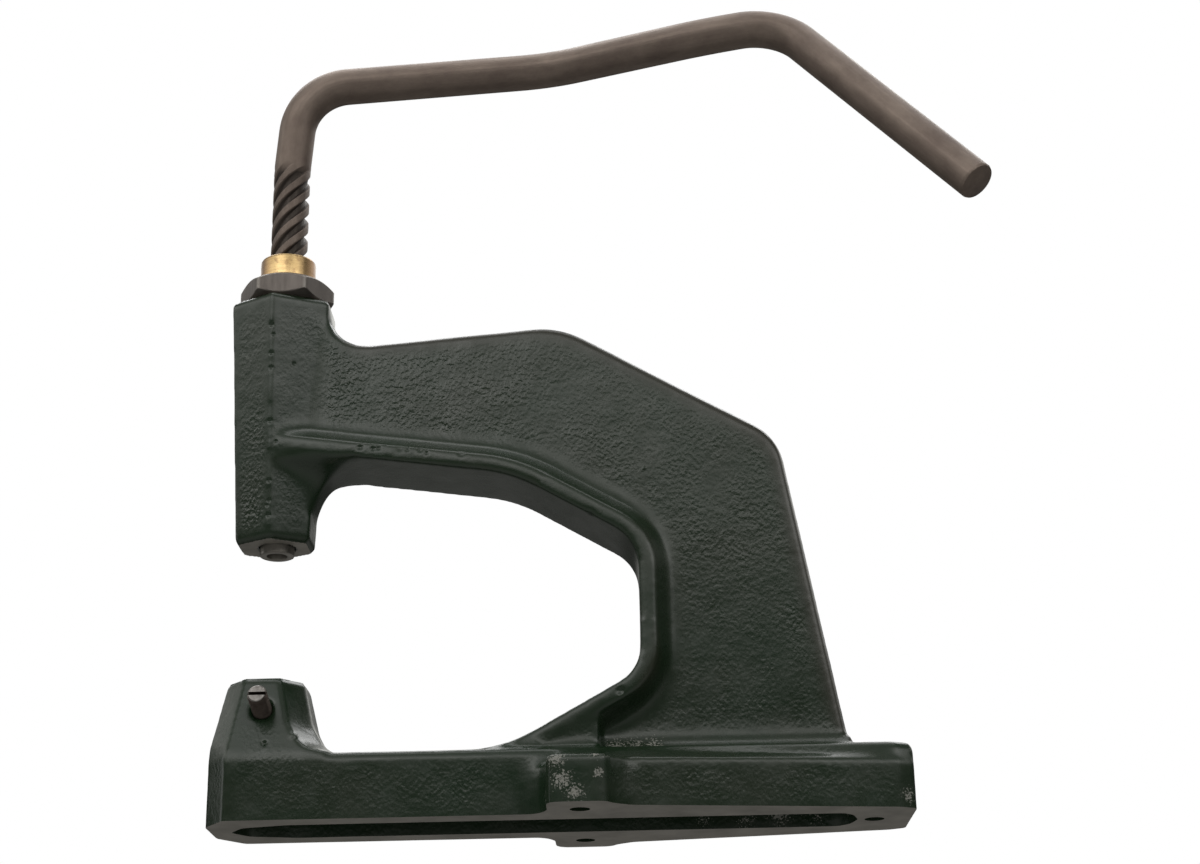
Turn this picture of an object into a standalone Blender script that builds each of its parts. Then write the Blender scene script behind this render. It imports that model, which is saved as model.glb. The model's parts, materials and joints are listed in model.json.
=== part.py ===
"""Snap button press: a cast C-frame, a fast five-start spindle with a bent bar handle, and a sliding ram.

The spindle turns about a vertical axis. In the machine frame that axis is x = y = 0, +X runs
from the head to the rear of the frame, +Y points away from the clamp screw's side, and the bench
is z = 0. The finished press is then moved so that the middle of its footprint lies on the world
origin.
"""
import math

import bmesh
import bpy
from mathutils import Vector

MM = 0.001

# Clearances and construction values
GAP = 0.3 * MM
OVERRUN = 3.0 * MM
MERGE_DISTANCE = 0.01 * MM
ROUND_STEPS = 40
FINE_STEPS = 24
ARC_STEPS = 5
SMOOTH_ANGLE = math.radians(32.0)

# Base bar and its lugs
BASE_HEIGHT = 22.3 * MM
BASE_WIDTH = 42.6 * MM
BASE_EDGE_ROUND = 2.6 * MM
FRONT_REACH = 18.3 * MM
FRONT_END_WIDTH = 20.6 * MM
FRONT_CORNER_LENGTH = 7.7 * MM
REAR_REACH = 214.4 * MM
REAR_END_WIDTH = 35.0 * MM
REAR_CORNER_LENGTH = 5.5 * MM
REAR_CREST_WIDTH = 33.6 * MM
SKIRT_HEIGHT = 15.5 * MM
SKIRT_FRONT_WIDTH = 67.0 * MM
SKIRT_REAR_WIDTH = 41.0 * MM
LUG_SPAN = 82.8 * MM
LUG_LENGTH = 21.0 * MM
LUG_ROOT_FLARE = 6.5 * MM
LUG_CORNER = 3.6 * MM
BOLT_HOLE_RADIUS = 3.3 * MM
SIDE_BOLT_X = 105.6 * MM
SIDE_BOLT_SPACING = 56.2 * MM
REAR_BOLT_INSET = 12.2 * MM
GROOVE_WIDTH = 24.0 * MM
GROOVE_DEPTH = 13.0 * MM
GROOVE_FRONT_X = -12.2 * MM
GROOVE_TIP_LENGTH = 21.0 * MM
GROOVE_REAR_WALL = 1.8 * MM
GROOVE_DRAFT = 1.6 * MM

# Die pillar
PILLAR_TOP_Z = 49.2 * MM
PILLAR_TOP_FRONT = 13.8 * MM
PILLAR_TOP_REAR = 12.4 * MM
PILLAR_TOP_WIDTH = 27.2 * MM
PILLAR_FACE_FRONT = 6.5 * MM
PILLAR_FACE_REAR = 5.0 * MM
PILLAR_FLAT_WIDTH = 11.2 * MM
PILLAR_TOP_ROUND = 0.8 * MM
PILLAR_SIDE_DRAFT = math.radians(15.4)
PILLAR_FRONT_DRAFT = math.radians(11.0)
PILLAR_REAR_DRAFT = math.radians(12.8)
PILLAR_FILLET = 11.0 * MM
DIE_HOLE_RADIUS = 5.0 * MM
DIE_HOLE_DEPTH = 24.0 * MM

# Head
HEAD_BOTTOM_Z = 98.8 * MM
HEAD_TOP_Z = 190.0 * MM
HEAD_BOTTOM_LENGTH = 25.8 * MM
HEAD_TOP_LENGTH = 35.2 * MM
HEAD_BOTTOM_WIDTH = 28.2 * MM
HEAD_TOP_WIDTH = 36.6 * MM
HEAD_OFFSET = 0.7 * MM
HEAD_EDGE_BOTTOM_OFFSET = 1.0 * MM
HEAD_EDGE_TOP_OFFSET = 2.2 * MM
HEAD_FLAT_SHARE = 0.47
HEAD_EDGE_ROUND = 1.0 * MM

# Arm: outer edge of the web
WEB_THICKNESS = 18.0 * MM
WEB_EDGE_ROUND = 3.0 * MM
WEB_FRONT_Z = 171.6 * MM
WEB_FRONT_RADIUS = 13.5 * MM
CREST_X = 99.7 * MM
CREST_Z = 178.4 * MM
CREST_RADIUS = 32.0 * MM
SHOULDER_X = 176.3 * MM
SHOULDER_Z = 133.8 * MM
SHOULDER_RADIUS = 20.0 * MM
HEEL_INSET = 19.2 * MM
FOOT_FLARE = 5.5 * MM

# Throat: edge of the C opening and the flange that lines it
THROAT_START_HEIGHT = 32.1 * MM
KNEE_X = 82.7 * MM
KNEE_Z = 119.6 * MM
KNEE_RADIUS = 50.0 * MM
THROAT_BACK_X = 126.2 * MM
THROAT_HIGH_Z = 94.2 * MM
THROAT_HIGH_RADIUS = 16.0 * MM
THROAT_LOW_Z = 48.7 * MM
THROAT_LOW_RADIUS = 13.5 * MM
RAMP_TOE_X = 78.9 * MM
RAMP_TOE_RADIUS = 52.0 * MM
RAMP_TOE_RUN = 25.0 * MM
RAMP_FILL_X = 112.0 * MM
HEAD_FILLET_HEIGHT = 17.0 * MM
HEAD_FILLET_REACH = 15.6 * MM
HEAD_FILLET_SHARES = ((0.0, 0.0), (0.2, 0.08), (0.47, 0.19), (0.74, 0.38), (0.9, 0.66), (1.0, 1.0))
FLANGE_HEAD_WIDTH = 30.4 * MM
FLANGE_BASE_WIDTH = 36.0 * MM
FLANGE_EDGE = 5.4 * MM
FLANGE_ROOT = 10.5 * MM
WEB_SETBACK = 1.5 * MM

# Spindle thread: five starts, right hand
THREAD_STARTS = 5
THREAD_LEAD = 38.5 * MM
THREAD_RADIUS = 6.7 * MM
THREAD_DEPTH = 1.5 * MM
LAND_SHARE = 0.42
FLANK_SHARE = 0.13
THREAD_LENGTH = 77.0 * MM
THREAD_BOTTOM_Z = 169.3 * MM
THREAD_STEPS = 64

# Handle: one bent bar that runs on from the thread
BAR_RADIUS = 6.76 * MM
BAR_START_Z = 243.5 * MM
BAR_TIP_CHAMFER = 1.0 * MM
LEAN_Z = 248.0 * MM
LEAN_RADIUS = 35.0 * MM
ELBOW_X = 3.3 * MM
ELBOW_Y = -3.8 * MM
ELBOW_Z = 279.9 * MM
ELBOW_RADIUS = 22.0 * MM
CRANK_X = 96.4 * MM
CRANK_Y = 12.9 * MM
CRANK_Z = 295.4 * MM
CRANK_RADIUS = 30.0 * MM
SWAY_X = 155.7 * MM
SWAY_Y = -22.0 * MM
SWAY_Z = 287.3 * MM
SWAY_RADIUS = 30.0 * MM
WRIST_X = 183.0 * MM
WRIST_Y = -17.6 * MM
WRIST_Z = 294.4 * MM
WRIST_RADIUS = 20.0 * MM
TIP_X = 245.3 * MM
TIP_Y = -54.9 * MM
TIP_Z = 206.6 * MM

# Spindle tail, swivel and ram
TAIL_RADIUS = 4.0 * MM
TAIL_LENGTH = 8.5 * MM
TAIL_NECK_RADIUS = 2.6 * MM
TAIL_NECK_LENGTH = 3.1 * MM
TAIL_NECK_OFFSET = 2.7 * MM
RAM_RADIUS = 6.03 * MM
RAM_PROTRUSION = 2.9 * MM
RAM_MOUTH_CHAMFER = 0.5 * MM
DIE_SOCKET_RADIUS = 3.5 * MM
DIE_SOCKET_DEPTH = 10.5 * MM
BALL_RADIUS = 3.0 * MM
SOCKET_FLOOR_CLEARANCE = 0.4 * MM
PIN_RADIUS = 1.25 * MM
KEYWAY_WIDTH = 3.7 * MM
KEYWAY_DEPTH = 1.5 * MM
KEYWAY_START = 11.5 * MM
KEYWAY_LENGTH = 38.2 * MM
CHAMBER_BOTTOM_Z = 137.0 * MM

# Key screw in the head
KEY_SCREW_HEIGHT = 13.2 * MM
KEY_SCREW_RADIUS = 2.5 * MM
KEY_SCREW_DOG_RADIUS = 1.5 * MM
KEY_SCREW_DOG_LENGTH = 2.4 * MM
KEY_SCREW_LENGTH = 9.0 * MM
KEY_SCREW_SLOT_DEPTH = 1.3 * MM
KEY_SCREW_SLOT_WIDTH = 0.9 * MM

# Bush and lock nut
BUSH_RADIUS = 10.0 * MM
BUSH_BOTTOM_Z = 172.0 * MM
BUSH_TOP_Z = 209.0 * MM
BUSH_EDGE = 0.8 * MM
NUT_ACROSS_FLATS = 30.0 * MM
NUT_HEIGHT = 9.0 * MM
NUT_CHAMFER_ANGLE = math.radians(30.0)
NUT_TURN = math.radians(-28.9)

# Die clamp screw in the pillar
CLAMP_Z = 37.8 * MM
CLAMP_RADIUS = 3.2 * MM
CLAMP_TILT = PILLAR_SIDE_DRAFT
CLAMP_PROTRUSION = 12.0 * MM
CLAMP_TIP_SETBACK = 0.6 * MM
CLAMP_EDGE = 0.5 * MM
CLAMP_SLOT_DEPTH = 1.6 * MM
CLAMP_SLOT_WIDTH = 1.2 * MM


# Scene set-up

def reset_scene():
    for obj in list(bpy.data.objects):
        bpy.data.objects.remove(obj, do_unlink=True)


def make_collection(name):
    collection = bpy.data.collections.new(name)
    bpy.context.scene.collection.children.link(collection)
    return collection


def make_material(name, colour, roughness, metallic):
    material = bpy.data.materials.new(name)
    material.use_nodes = True
    shader = material.node_tree.nodes["Principled BSDF"]
    shader.inputs["Base Color"].default_value = (*colour, 1.0)
    shader.inputs["Roughness"].default_value = roughness
    shader.inputs["Metallic"].default_value = metallic
    return material


reset_scene()
PARTS = make_collection("snap_button_press")
CUTTERS = make_collection("construction")

GREEN_PAINT = make_material("green_casting_paint", (0.045, 0.060, 0.050), 0.42, 0.1)
BLACK_STEEL = make_material("blackened_bar_steel", (0.115, 0.100, 0.088), 0.42, 0.85)
DARK_NUT = make_material("dark_nut_steel", (0.120, 0.104, 0.095), 0.46, 0.80)
BRIGHT_STEEL = make_material("ground_steel", (0.330, 0.320, 0.300), 0.34, 0.95)
BUSH_BRASS = make_material("turned_brass", (0.610, 0.440, 0.210), 0.34, 0.95)
SCREW_STEEL = make_material("screw_steel", (0.240, 0.215, 0.200), 0.44, 0.85)


# Geometry helpers

def new_object(name, mesh, collection=CUTTERS):
    obj = bpy.data.objects.new(name, mesh)
    collection.objects.link(obj)
    if collection is CUTTERS:
        obj.hide_render = True
        obj.display_type = "WIRE"
    return obj


def from_bmesh(name, bm):
    bmesh.ops.recalc_face_normals(bm, faces=bm.faces)
    mesh = bpy.data.meshes.new(name)
    bm.to_mesh(mesh)
    bm.free()
    return new_object(name, mesh)


def loft(name, rings):
    """Closed skin through rings of equal point count, capped at both ends."""
    bm = bmesh.new()
    rows = [[bm.verts.new(point) for point in ring] for ring in rings]
    count = len(rings[0])
    for low, high in zip(rows, rows[1:]):
        for i in range(count):
            j = (i + 1) % count
            bm.faces.new((low[i], low[j], high[j], high[i]))
    bm.faces.new(rows[0])
    bm.faces.new(rows[-1])
    return from_bmesh(name, bm)


def cylinder(name, radius, start, end, segments=ROUND_STEPS):
    """Closed cylinder between two points."""
    start, end = Vector(start), Vector(end)
    axis = end - start
    bm = bmesh.new()
    bmesh.ops.create_cone(bm, cap_ends=True, segments=segments, radius1=radius, radius2=radius,
                          depth=axis.length)
    obj = from_bmesh(name, bm)
    obj.rotation_mode = "QUATERNION"
    obj.rotation_quaternion = axis.to_track_quat("Z", "Y")
    obj.location = (start + end) / 2
    return obj


def box(name, low, high):
    low, high = Vector(low), Vector(high)
    bm = bmesh.new()
    bmesh.ops.create_cube(bm, size=1.0)
    bmesh.ops.scale(bm, vec=high - low, verts=bm.verts)
    obj = from_bmesh(name, bm)
    obj.location = (low + high) / 2
    return obj


def turned(name, profile, steps=ROUND_STEPS):
    """Body of revolution about local Z from (radius, z) points that run down the outer side."""
    mesh = bpy.data.meshes.new(name)
    points = [(radius, 0, z) for radius, z in profile]
    edges = [(i, i + 1) for i in range(len(points) - 1)]
    if profile[0][0] > 0:
        edges.append((len(points) - 1, 0))
    mesh.from_pydata(points, edges, [])
    obj = new_object(name, mesh)
    screw = obj.modifiers.new("turn", "SCREW")
    screw.axis = "Z"
    screw.angle = math.tau
    screw.steps = steps
    screw.render_steps = steps
    screw.use_merge_vertices = True
    screw.merge_threshold = MERGE_DISTANCE
    screw.use_normal_calculate = False
    return obj


def evaluated_mesh(obj):
    graph = bpy.context.evaluated_depsgraph_get()
    return bpy.data.meshes.new_from_object(obj.evaluated_get(graph))


def twisted_bar(name, section, length, lead, steps):
    """Prism of a closed section, twisted by one turn for each lead of its length, ends filled."""
    mesh = bpy.data.meshes.new(name)
    points = [(x, y, 0) for x, y in section]
    mesh.from_pydata(points, [(i, (i + 1) % len(points)) for i in range(len(points))], [])
    guide = new_object(name + "_section", mesh)
    screw = guide.modifiers.new("twist", "SCREW")
    screw.axis = "Z"
    screw.angle = math.tau * length / lead
    screw.screw_offset = length
    screw.steps = steps
    screw.render_steps = steps
    screw.merge_threshold = MERGE_DISTANCE
    bm = bmesh.new()
    bm.from_mesh(evaluated_mesh(guide))
    bpy.data.objects.remove(guide, do_unlink=True)
    bmesh.ops.holes_fill(bm, edges=[edge for edge in bm.edges if edge.is_boundary], sides=0)
    return from_bmesh(name, bm)


def combine(target, tool, operation="DIFFERENCE"):
    modifier = target.modifiers.new(tool.name, "BOOLEAN")
    modifier.operation = operation
    modifier.solver = "EXACT"
    modifier.object = tool


def finish(obj, name, material):
    """Applies the construction to a clean mesh and files the piece under its own name."""
    mesh = evaluated_mesh(obj)
    mesh.name = name
    mesh.materials.clear()
    mesh.materials.append(material)
    mesh.shade_smooth()
    mesh.set_sharp_from_angle(angle=SMOOTH_ANGLE)
    piece = bpy.data.objects.new(name, mesh)
    piece.matrix_world = obj.matrix_world.copy()
    PARTS.objects.link(piece)
    return piece


# Plane outlines

def rounded_path(corners):
    """Points along a polyline whose inner corners (point, radius) are replaced by arcs."""
    points = [Vector(corners[0][0])]
    for before, (corner, radius), after in zip(corners, corners[1:], corners[2:]):
        corner = Vector(corner)
        back = (Vector(before[0]) - corner).normalized()
        ahead = (Vector(after[0]) - corner).normalized()
        half = back.angle(ahead) / 2
        reach = radius / math.tan(half)
        centre = corner + (back + ahead).normalized() * radius / math.sin(half)
        first = corner + back * reach - centre
        last = corner + ahead * reach - centre
        sweep = first.angle(last)
        for step in range(ARC_STEPS + 1):
            share = step / ARC_STEPS
            arm = first * math.sin((1 - share) * sweep) + last * math.sin(share * sweep)
            points.append(centre + arm / math.sin(sweep))
    points.append(Vector(corners[-1][0]))
    return points


def offset_path(points, distance):
    """Open (x, z) polyline moved sideways, to the left of its direction for a positive distance."""
    moved = []
    for i, point in enumerate(points):
        before = points[max(i - 1, 0)]
        after = points[min(i + 1, len(points) - 1)]
        along = (after - before).normalized()
        moved.append(point + Vector((-along.y, along.x)) * distance)
    return moved


def path_shares(points):
    """Share of the whole length reached at each point."""
    reached = [0.0]
    for a, b in zip(points, points[1:]):
        reached.append(reached[-1] + (b - a).length)
    return [length / reached[-1] for length in reached]


def mirrored_outline(half):
    """Closed outline from the points of its +Y half, given front to rear."""
    return half + [(x, -y) for x, y in reversed(half)]


def at_height(outline, z):
    return [(x, y, z) for x, y in outline]


# Frame casting

def throat_start_z():
    return HEAD_BOTTOM_Z + THROAT_START_HEIGHT


def throat_path():
    """Edge of the C opening in (x, z), from inside the head round to the base bar's top."""
    return rounded_path([
        ((head_edge_x(throat_start_z()), throat_start_z()), 0),
        ((KNEE_X, KNEE_Z), KNEE_RADIUS),
        ((THROAT_BACK_X, THROAT_HIGH_Z), THROAT_HIGH_RADIUS),
        ((THROAT_BACK_X, THROAT_LOW_Z), THROAT_LOW_RADIUS),
        ((RAMP_TOE_X, BASE_HEIGHT), RAMP_TOE_RADIUS),
        ((RAMP_TOE_X - RAMP_TOE_RUN, BASE_HEIGHT), 0)])


def web_rings():
    """Sections of the arm's web across its thickness, with eased outer edges."""
    head_rear = head_end(HEAD_TOP_Z, 1)
    outer = rounded_path([
        ((head_rear, HEAD_TOP_Z - WEB_EDGE_ROUND), 0),
        ((head_rear - GAP, WEB_FRONT_Z), WEB_FRONT_RADIUS),
        ((CREST_X, CREST_Z), CREST_RADIUS),
        ((SHOULDER_X, SHOULDER_Z), SHOULDER_RADIUS),
        ((REAR_REACH - HEEL_INSET, BASE_HEIGHT), 0)])
    inner = offset_path(throat_path(), WEB_SETBACK)
    foot = BASE_HEIGHT - BASE_EDGE_ROUND
    rings = []
    for side, inset in ((-1, WEB_EDGE_ROUND / 2), (-1, 0), (1, 0), (1, WEB_EDGE_ROUND / 2)):
        y = side * (WEB_THICKNESS / 2 - (0 if inset else WEB_EDGE_ROUND))
        edge = offset_path(outer, -inset)
        ring = [(0, HEAD_TOP_Z - WEB_EDGE_ROUND - inset)] + [tuple(p) for p in edge]
        ring += [(edge[-1].x, foot), (RAMP_TOE_X, foot)]
        ring += [tuple(p) for p in reversed(inner[:-2])]
        rings.append([(x, y, z) for x, z in ring])
    return rings


def flange_rings():
    """Sections of the throat flange across its width: thin edges, thicker where it meets the web."""
    path = throat_path()
    halves = [(FLANGE_HEAD_WIDTH + (FLANGE_BASE_WIDTH - FLANGE_HEAD_WIDTH) * share) / 2
              for share in path_shares(path)]
    root = WEB_THICKNESS / 2 - GAP
    rings = []
    for side, thickness in ((-1, FLANGE_EDGE), (-1, FLANGE_ROOT), (1, FLANGE_ROOT), (1, FLANGE_EDGE)):
        back = offset_path(path, thickness)
        widths = halves if thickness == FLANGE_EDGE else [root] * len(path)
        face = [(p.x, side * w, p.y) for p, w in zip(path, widths)]
        rear = [(p.x, side * w, p.y) for p, w in zip(back, widths)]
        rings.append(face + list(reversed(rear)))
    return rings


def head_fillet_rings():
    """Fillet that carries the throat flange down the rear of the head, narrowing to the head's flat."""
    roof_slope = (KNEE_Z - throat_start_z()) / KNEE_X
    roof_x = head_end(HEAD_BOTTOM_Z, 1) + HEAD_FILLET_REACH
    low_z = throat_start_z() + roof_x * roof_slope - HEAD_FILLET_HEIGHT
    low_x = head_end(low_z, 1)
    flat = HEAD_BOTTOM_WIDTH * HEAD_FLAT_SHARE / 2
    rings = []
    for rise, reach in HEAD_FILLET_SHARES:
        z = low_z + HEAD_FILLET_HEIGHT * rise
        x = low_x + HEAD_FILLET_REACH * reach
        half = flat + (FLANGE_HEAD_WIDTH / 2 - GAP - flat) * rise
        rings.append([(0, -half, z), (x, -half, z), (x, half, z), (0, half, z)])
    top = [(x, y, z + FLANGE_EDGE / 2) for x, y, z in rings[-1]]
    return rings + [top]


def ramp_rings():
    """Solid fill between the lower flange and the base bar, ahead of the pocket."""
    foot = BASE_HEIGHT - BASE_EDGE_ROUND
    slope = (THROAT_LOW_Z - BASE_HEIGHT) / (THROAT_BACK_X - RAMP_TOE_X)
    crest = BASE_HEIGHT + (RAMP_FILL_X - RAMP_TOE_X) * slope - FLANGE_EDGE / 2
    toe_x = RAMP_FILL_X - (crest - foot) / slope
    half = (FLANGE_BASE_WIDTH - BASE_EDGE_ROUND) / 2
    outline = [(RAMP_FILL_X, foot), (RAMP_FILL_X, crest), (toe_x, foot)]
    return [[(x, y, z) for x, z in outline] for y in (-half, half)]


def foot_flare_rings():
    """Fillet along the foot of the web on the base."""
    rings = []
    for share in (0.0, 0.35, 1.0):
        spread = FOOT_FLARE * (1 - share) ** 2
        z = BASE_HEIGHT - BASE_EDGE_ROUND / 2 + FOOT_FLARE * share
        half = WEB_THICKNESS / 2 + spread
        front = RAMP_FILL_X
        rear = REAR_REACH - HEEL_INSET + spread / 3
        rings.append([(front, -half, z), (rear, -half, z), (rear, half, z), (front, half, z)])
    floor = [(x, y, SKIRT_HEIGHT) for x, y, z in rings[0]]
    return [floor] + rings


def bar_half_outline(inset=0.0):
    """+Y half of the base bar's outline, front to rear."""
    side = BASE_WIDTH / 2 - inset
    return [(-FRONT_REACH + inset, FRONT_END_WIDTH / 2 - inset / 2),
            (-FRONT_REACH + FRONT_CORNER_LENGTH + inset / 2, side),
            (SIDE_BOLT_X, side),
            (REAR_REACH - REAR_CORNER_LENGTH - inset, REAR_CREST_WIDTH / 2 + BASE_EDGE_ROUND - inset),
            (REAR_REACH - inset, REAR_CREST_WIDTH / 2 - inset)]


def base_bar_rings():
    rings = [at_height(mirrored_outline(bar_half_outline()), 0)]
    for share in (0.0, 0.6, 1.0):
        angle = share * math.pi / 2
        inset = BASE_EDGE_ROUND * (1 - math.cos(angle))
        z = BASE_HEIGHT - BASE_EDGE_ROUND * (1 - math.sin(angle))
        rings.append(at_height(mirrored_outline(bar_half_outline(inset)), z))
    return rings


def skirt_half_outline():
    """+Y half of the wide rear foot's outline."""
    front = SIDE_BOLT_X - LUG_LENGTH / 2 + LUG_CORNER
    return [(front, SKIRT_FRONT_WIDTH / 2),
            (SIDE_BOLT_X + LUG_LENGTH / 2 + LUG_ROOT_FLARE, SKIRT_FRONT_WIDTH / 2),
            (REAR_REACH - REAR_CORNER_LENGTH, SKIRT_REAR_WIDTH / 2),
            (REAR_REACH, REAR_END_WIDTH / 2)]


def skirt_rings():
    """Rear foot: upright sides, then a shoulder that rises to the base bar's top."""
    rise = BASE_HEIGHT - BASE_EDGE_ROUND / 2
    crest = [(SIDE_BOLT_X - LUG_LENGTH / 2 + LUG_CORNER, BASE_WIDTH / 2 - BASE_EDGE_ROUND),
             (SIDE_BOLT_X + LUG_LENGTH / 2 + LUG_ROOT_FLARE, BASE_WIDTH / 2 - BASE_EDGE_ROUND),
             (REAR_REACH - REAR_CORNER_LENGTH - BASE_EDGE_ROUND, REAR_CREST_WIDTH / 2),
             (REAR_REACH - BASE_EDGE_ROUND, REAR_CREST_WIDTH / 2 - BASE_EDGE_ROUND)]
    return [at_height(mirrored_outline(skirt_half_outline()), 0),
            at_height(mirrored_outline(skirt_half_outline()), SKIRT_HEIGHT),
            at_height(mirrored_outline(crest), rise)]


def lug_rings():
    """Both bolting lugs as one bar across the base, with flared roots."""
    front = SIDE_BOLT_X - LUG_LENGTH / 2
    rear = SIDE_BOLT_X + LUG_LENGTH / 2
    tip = LUG_SPAN / 2
    root = BASE_WIDTH / 2
    half = [(front - LUG_ROOT_FLARE - BASE_EDGE_ROUND, root - BASE_EDGE_ROUND),
            (front - LUG_ROOT_FLARE / 3, root + LUG_ROOT_FLARE / 3),
            (front, root + LUG_ROOT_FLARE), (front, tip - LUG_CORNER),
            (front + LUG_CORNER / 3, tip - LUG_CORNER / 3), (front + LUG_CORNER, tip),
            (rear - LUG_CORNER, tip), (rear - LUG_CORNER / 3, tip - LUG_CORNER / 3),
            (rear, tip - LUG_CORNER), (rear + LUG_ROOT_FLARE, SKIRT_FRONT_WIDTH / 2 - GAP),
            (rear + LUG_ROOT_FLARE, root)]
    outline = mirrored_outline(half)
    return [at_height(outline, 0), at_height(outline, SKIRT_HEIGHT)]


def octagon(rear_x, front_x, half_width, face_front, face_rear, side_half, z):
    """Eight-sided ring: near and far faces, front and rear faces, and four corner faces."""
    half = [(front_x, side_half), (face_front, half_width), (face_rear, half_width), (rear_x, side_half)]
    return at_height(mirrored_outline(half), z)


def pillar_ring(z):
    """Octagon of the drafted pillar; its rear face runs into the base in a fillet."""
    drop = PILLAR_TOP_Z - z
    share = drop / (PILLAR_TOP_Z - BASE_HEIGHT)
    inset = max(PILLAR_FILLET - max(z - BASE_HEIGHT, 0), 0)
    spread = PILLAR_FILLET - math.sqrt(PILLAR_FILLET ** 2 - inset ** 2)
    front = -min(PILLAR_TOP_FRONT + drop * math.tan(PILLAR_FRONT_DRAFT), FRONT_REACH)
    rear = PILLAR_TOP_REAR + drop * math.tan(PILLAR_REAR_DRAFT) + spread
    side = min(PILLAR_TOP_WIDTH / 2 + drop * math.tan(PILLAR_SIDE_DRAFT), BASE_WIDTH / 2)
    flat = (PILLAR_FLAT_WIDTH + (FRONT_END_WIDTH - PILLAR_FLAT_WIDTH) * share) / 2
    face_front = -PILLAR_FACE_FRONT + (PILLAR_FACE_FRONT - FRONT_REACH + FRONT_CORNER_LENGTH) * share
    face_rear = PILLAR_FACE_REAR + drop * math.tan(PILLAR_REAR_DRAFT) + spread
    return octagon(rear, front, side, face_front, face_rear, flat, z)


def pillar_rings():
    heights = [BASE_HEIGHT - BASE_EDGE_ROUND, BASE_HEIGHT]
    heights += [BASE_HEIGHT + PILLAR_FILLET * share for share in (0.15, 0.4, 1.0)]
    rings = [pillar_ring(z) for z in heights]
    ease = PILLAR_TOP_ROUND
    rings.append(pillar_ring(PILLAR_TOP_Z - ease))
    shrink = 1 - 2 * ease / PILLAR_TOP_WIDTH
    rings.append([(x * shrink, y * shrink, z) for x, y, z in pillar_ring(PILLAR_TOP_Z)])
    return rings


def head_end(z, side):
    """x of the head's rear (side 1) or front (side -1) flat at a height."""
    rise = (z - HEAD_BOTTOM_Z) / (HEAD_TOP_Z - HEAD_BOTTOM_Z)
    length = HEAD_BOTTOM_LENGTH + (HEAD_TOP_LENGTH - HEAD_BOTTOM_LENGTH) * rise
    return side * length / 2 - HEAD_OFFSET


def head_edge_x(z):
    """x of the head's near and far vertical edges at a height."""
    rise = (z - HEAD_BOTTOM_Z) / (HEAD_TOP_Z - HEAD_BOTTOM_Z)
    return -HEAD_EDGE_BOTTOM_OFFSET + (HEAD_EDGE_BOTTOM_OFFSET - HEAD_EDGE_TOP_OFFSET) * rise


def head_ring(z, inset=0.0):
    """Hexagon of the tapered head, with its vertical edges on the near and far sides."""
    rise = (z - HEAD_BOTTOM_Z) / (HEAD_TOP_Z - HEAD_BOTTOM_Z)
    half_width = (HEAD_BOTTOM_WIDTH + (HEAD_TOP_WIDTH - HEAD_BOTTOM_WIDTH) * rise) / 2
    flat = half_width * HEAD_FLAT_SHARE - inset / 2
    half = [(head_end(z, -1) + inset, flat), (head_edge_x(z), half_width - inset),
            (head_end(z, 1) - inset, flat)]
    return at_height(mirrored_outline(half), z)


def head_rings():
    ease = HEAD_EDGE_ROUND
    return [head_ring(HEAD_BOTTOM_Z, ease), head_ring(HEAD_BOTTOM_Z + ease),
            head_ring(HEAD_TOP_Z - ease), head_ring(HEAD_TOP_Z, ease)]


def groove_rings():
    """Core space under the base: pointed at the front, rounded at the rear, drafted walls."""
    rear = REAR_REACH - REAR_BOLT_INSET - BOLT_HOLE_RADIUS - GROOVE_REAR_WALL
    rings = []
    for z, inset in ((-OVERRUN, 0), (0, 0), (GROOVE_DEPTH, GROOVE_DRAFT)):
        half_width = GROOVE_WIDTH / 2 - inset
        half = [(GROOVE_FRONT_X + inset, 0),
                (GROOVE_FRONT_X + GROOVE_TIP_LENGTH / 4 + inset, half_width * 2 / 3),
                (GROOVE_FRONT_X + GROOVE_TIP_LENGTH + inset, half_width),
                (rear - half_width / 2, half_width),
                (rear - half_width / 6 - inset, half_width * 2 / 3),
                (rear - inset, 0)]
        outline = half + [(x, -y) for x, y in reversed(half[1:-1])]
        rings.append(at_height(outline, z))
    return rings


def clamp_axis():
    """Outward direction of the die clamp screw and the point where it meets the die hole's wall."""
    direction = Vector((0, -math.cos(CLAMP_TILT), math.sin(CLAMP_TILT)))
    face_y = -PILLAR_TOP_WIDTH / 2 - (PILLAR_TOP_Z - CLAMP_Z) * math.tan(PILLAR_SIDE_DRAFT)
    root = Vector((0, face_y, CLAMP_Z))
    inward = (-DIE_HOLE_RADIUS - root.y) / -direction.y
    return direction, root, root - direction * inward


def frame_bore():
    """Stepped bore through the head: ram guide, spindle chamber, then the bush's seat."""
    guide = RAM_RADIUS + GAP
    chamber = THREAD_RADIUS + 2 * GAP
    seat = BUSH_RADIUS + GAP
    floor = BUSH_BOTTOM_Z - GAP - OVERRUN
    return turned("head_bore", [
        (0, HEAD_TOP_Z + OVERRUN), (seat, HEAD_TOP_Z + OVERRUN), (seat, floor), (chamber, floor),
        (chamber, CHAMBER_BOTTOM_Z), (guide, CHAMBER_BOTTOM_Z), (guide, HEAD_BOTTOM_Z - OVERRUN),
        (0, HEAD_BOTTOM_Z - OVERRUN)])


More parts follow.
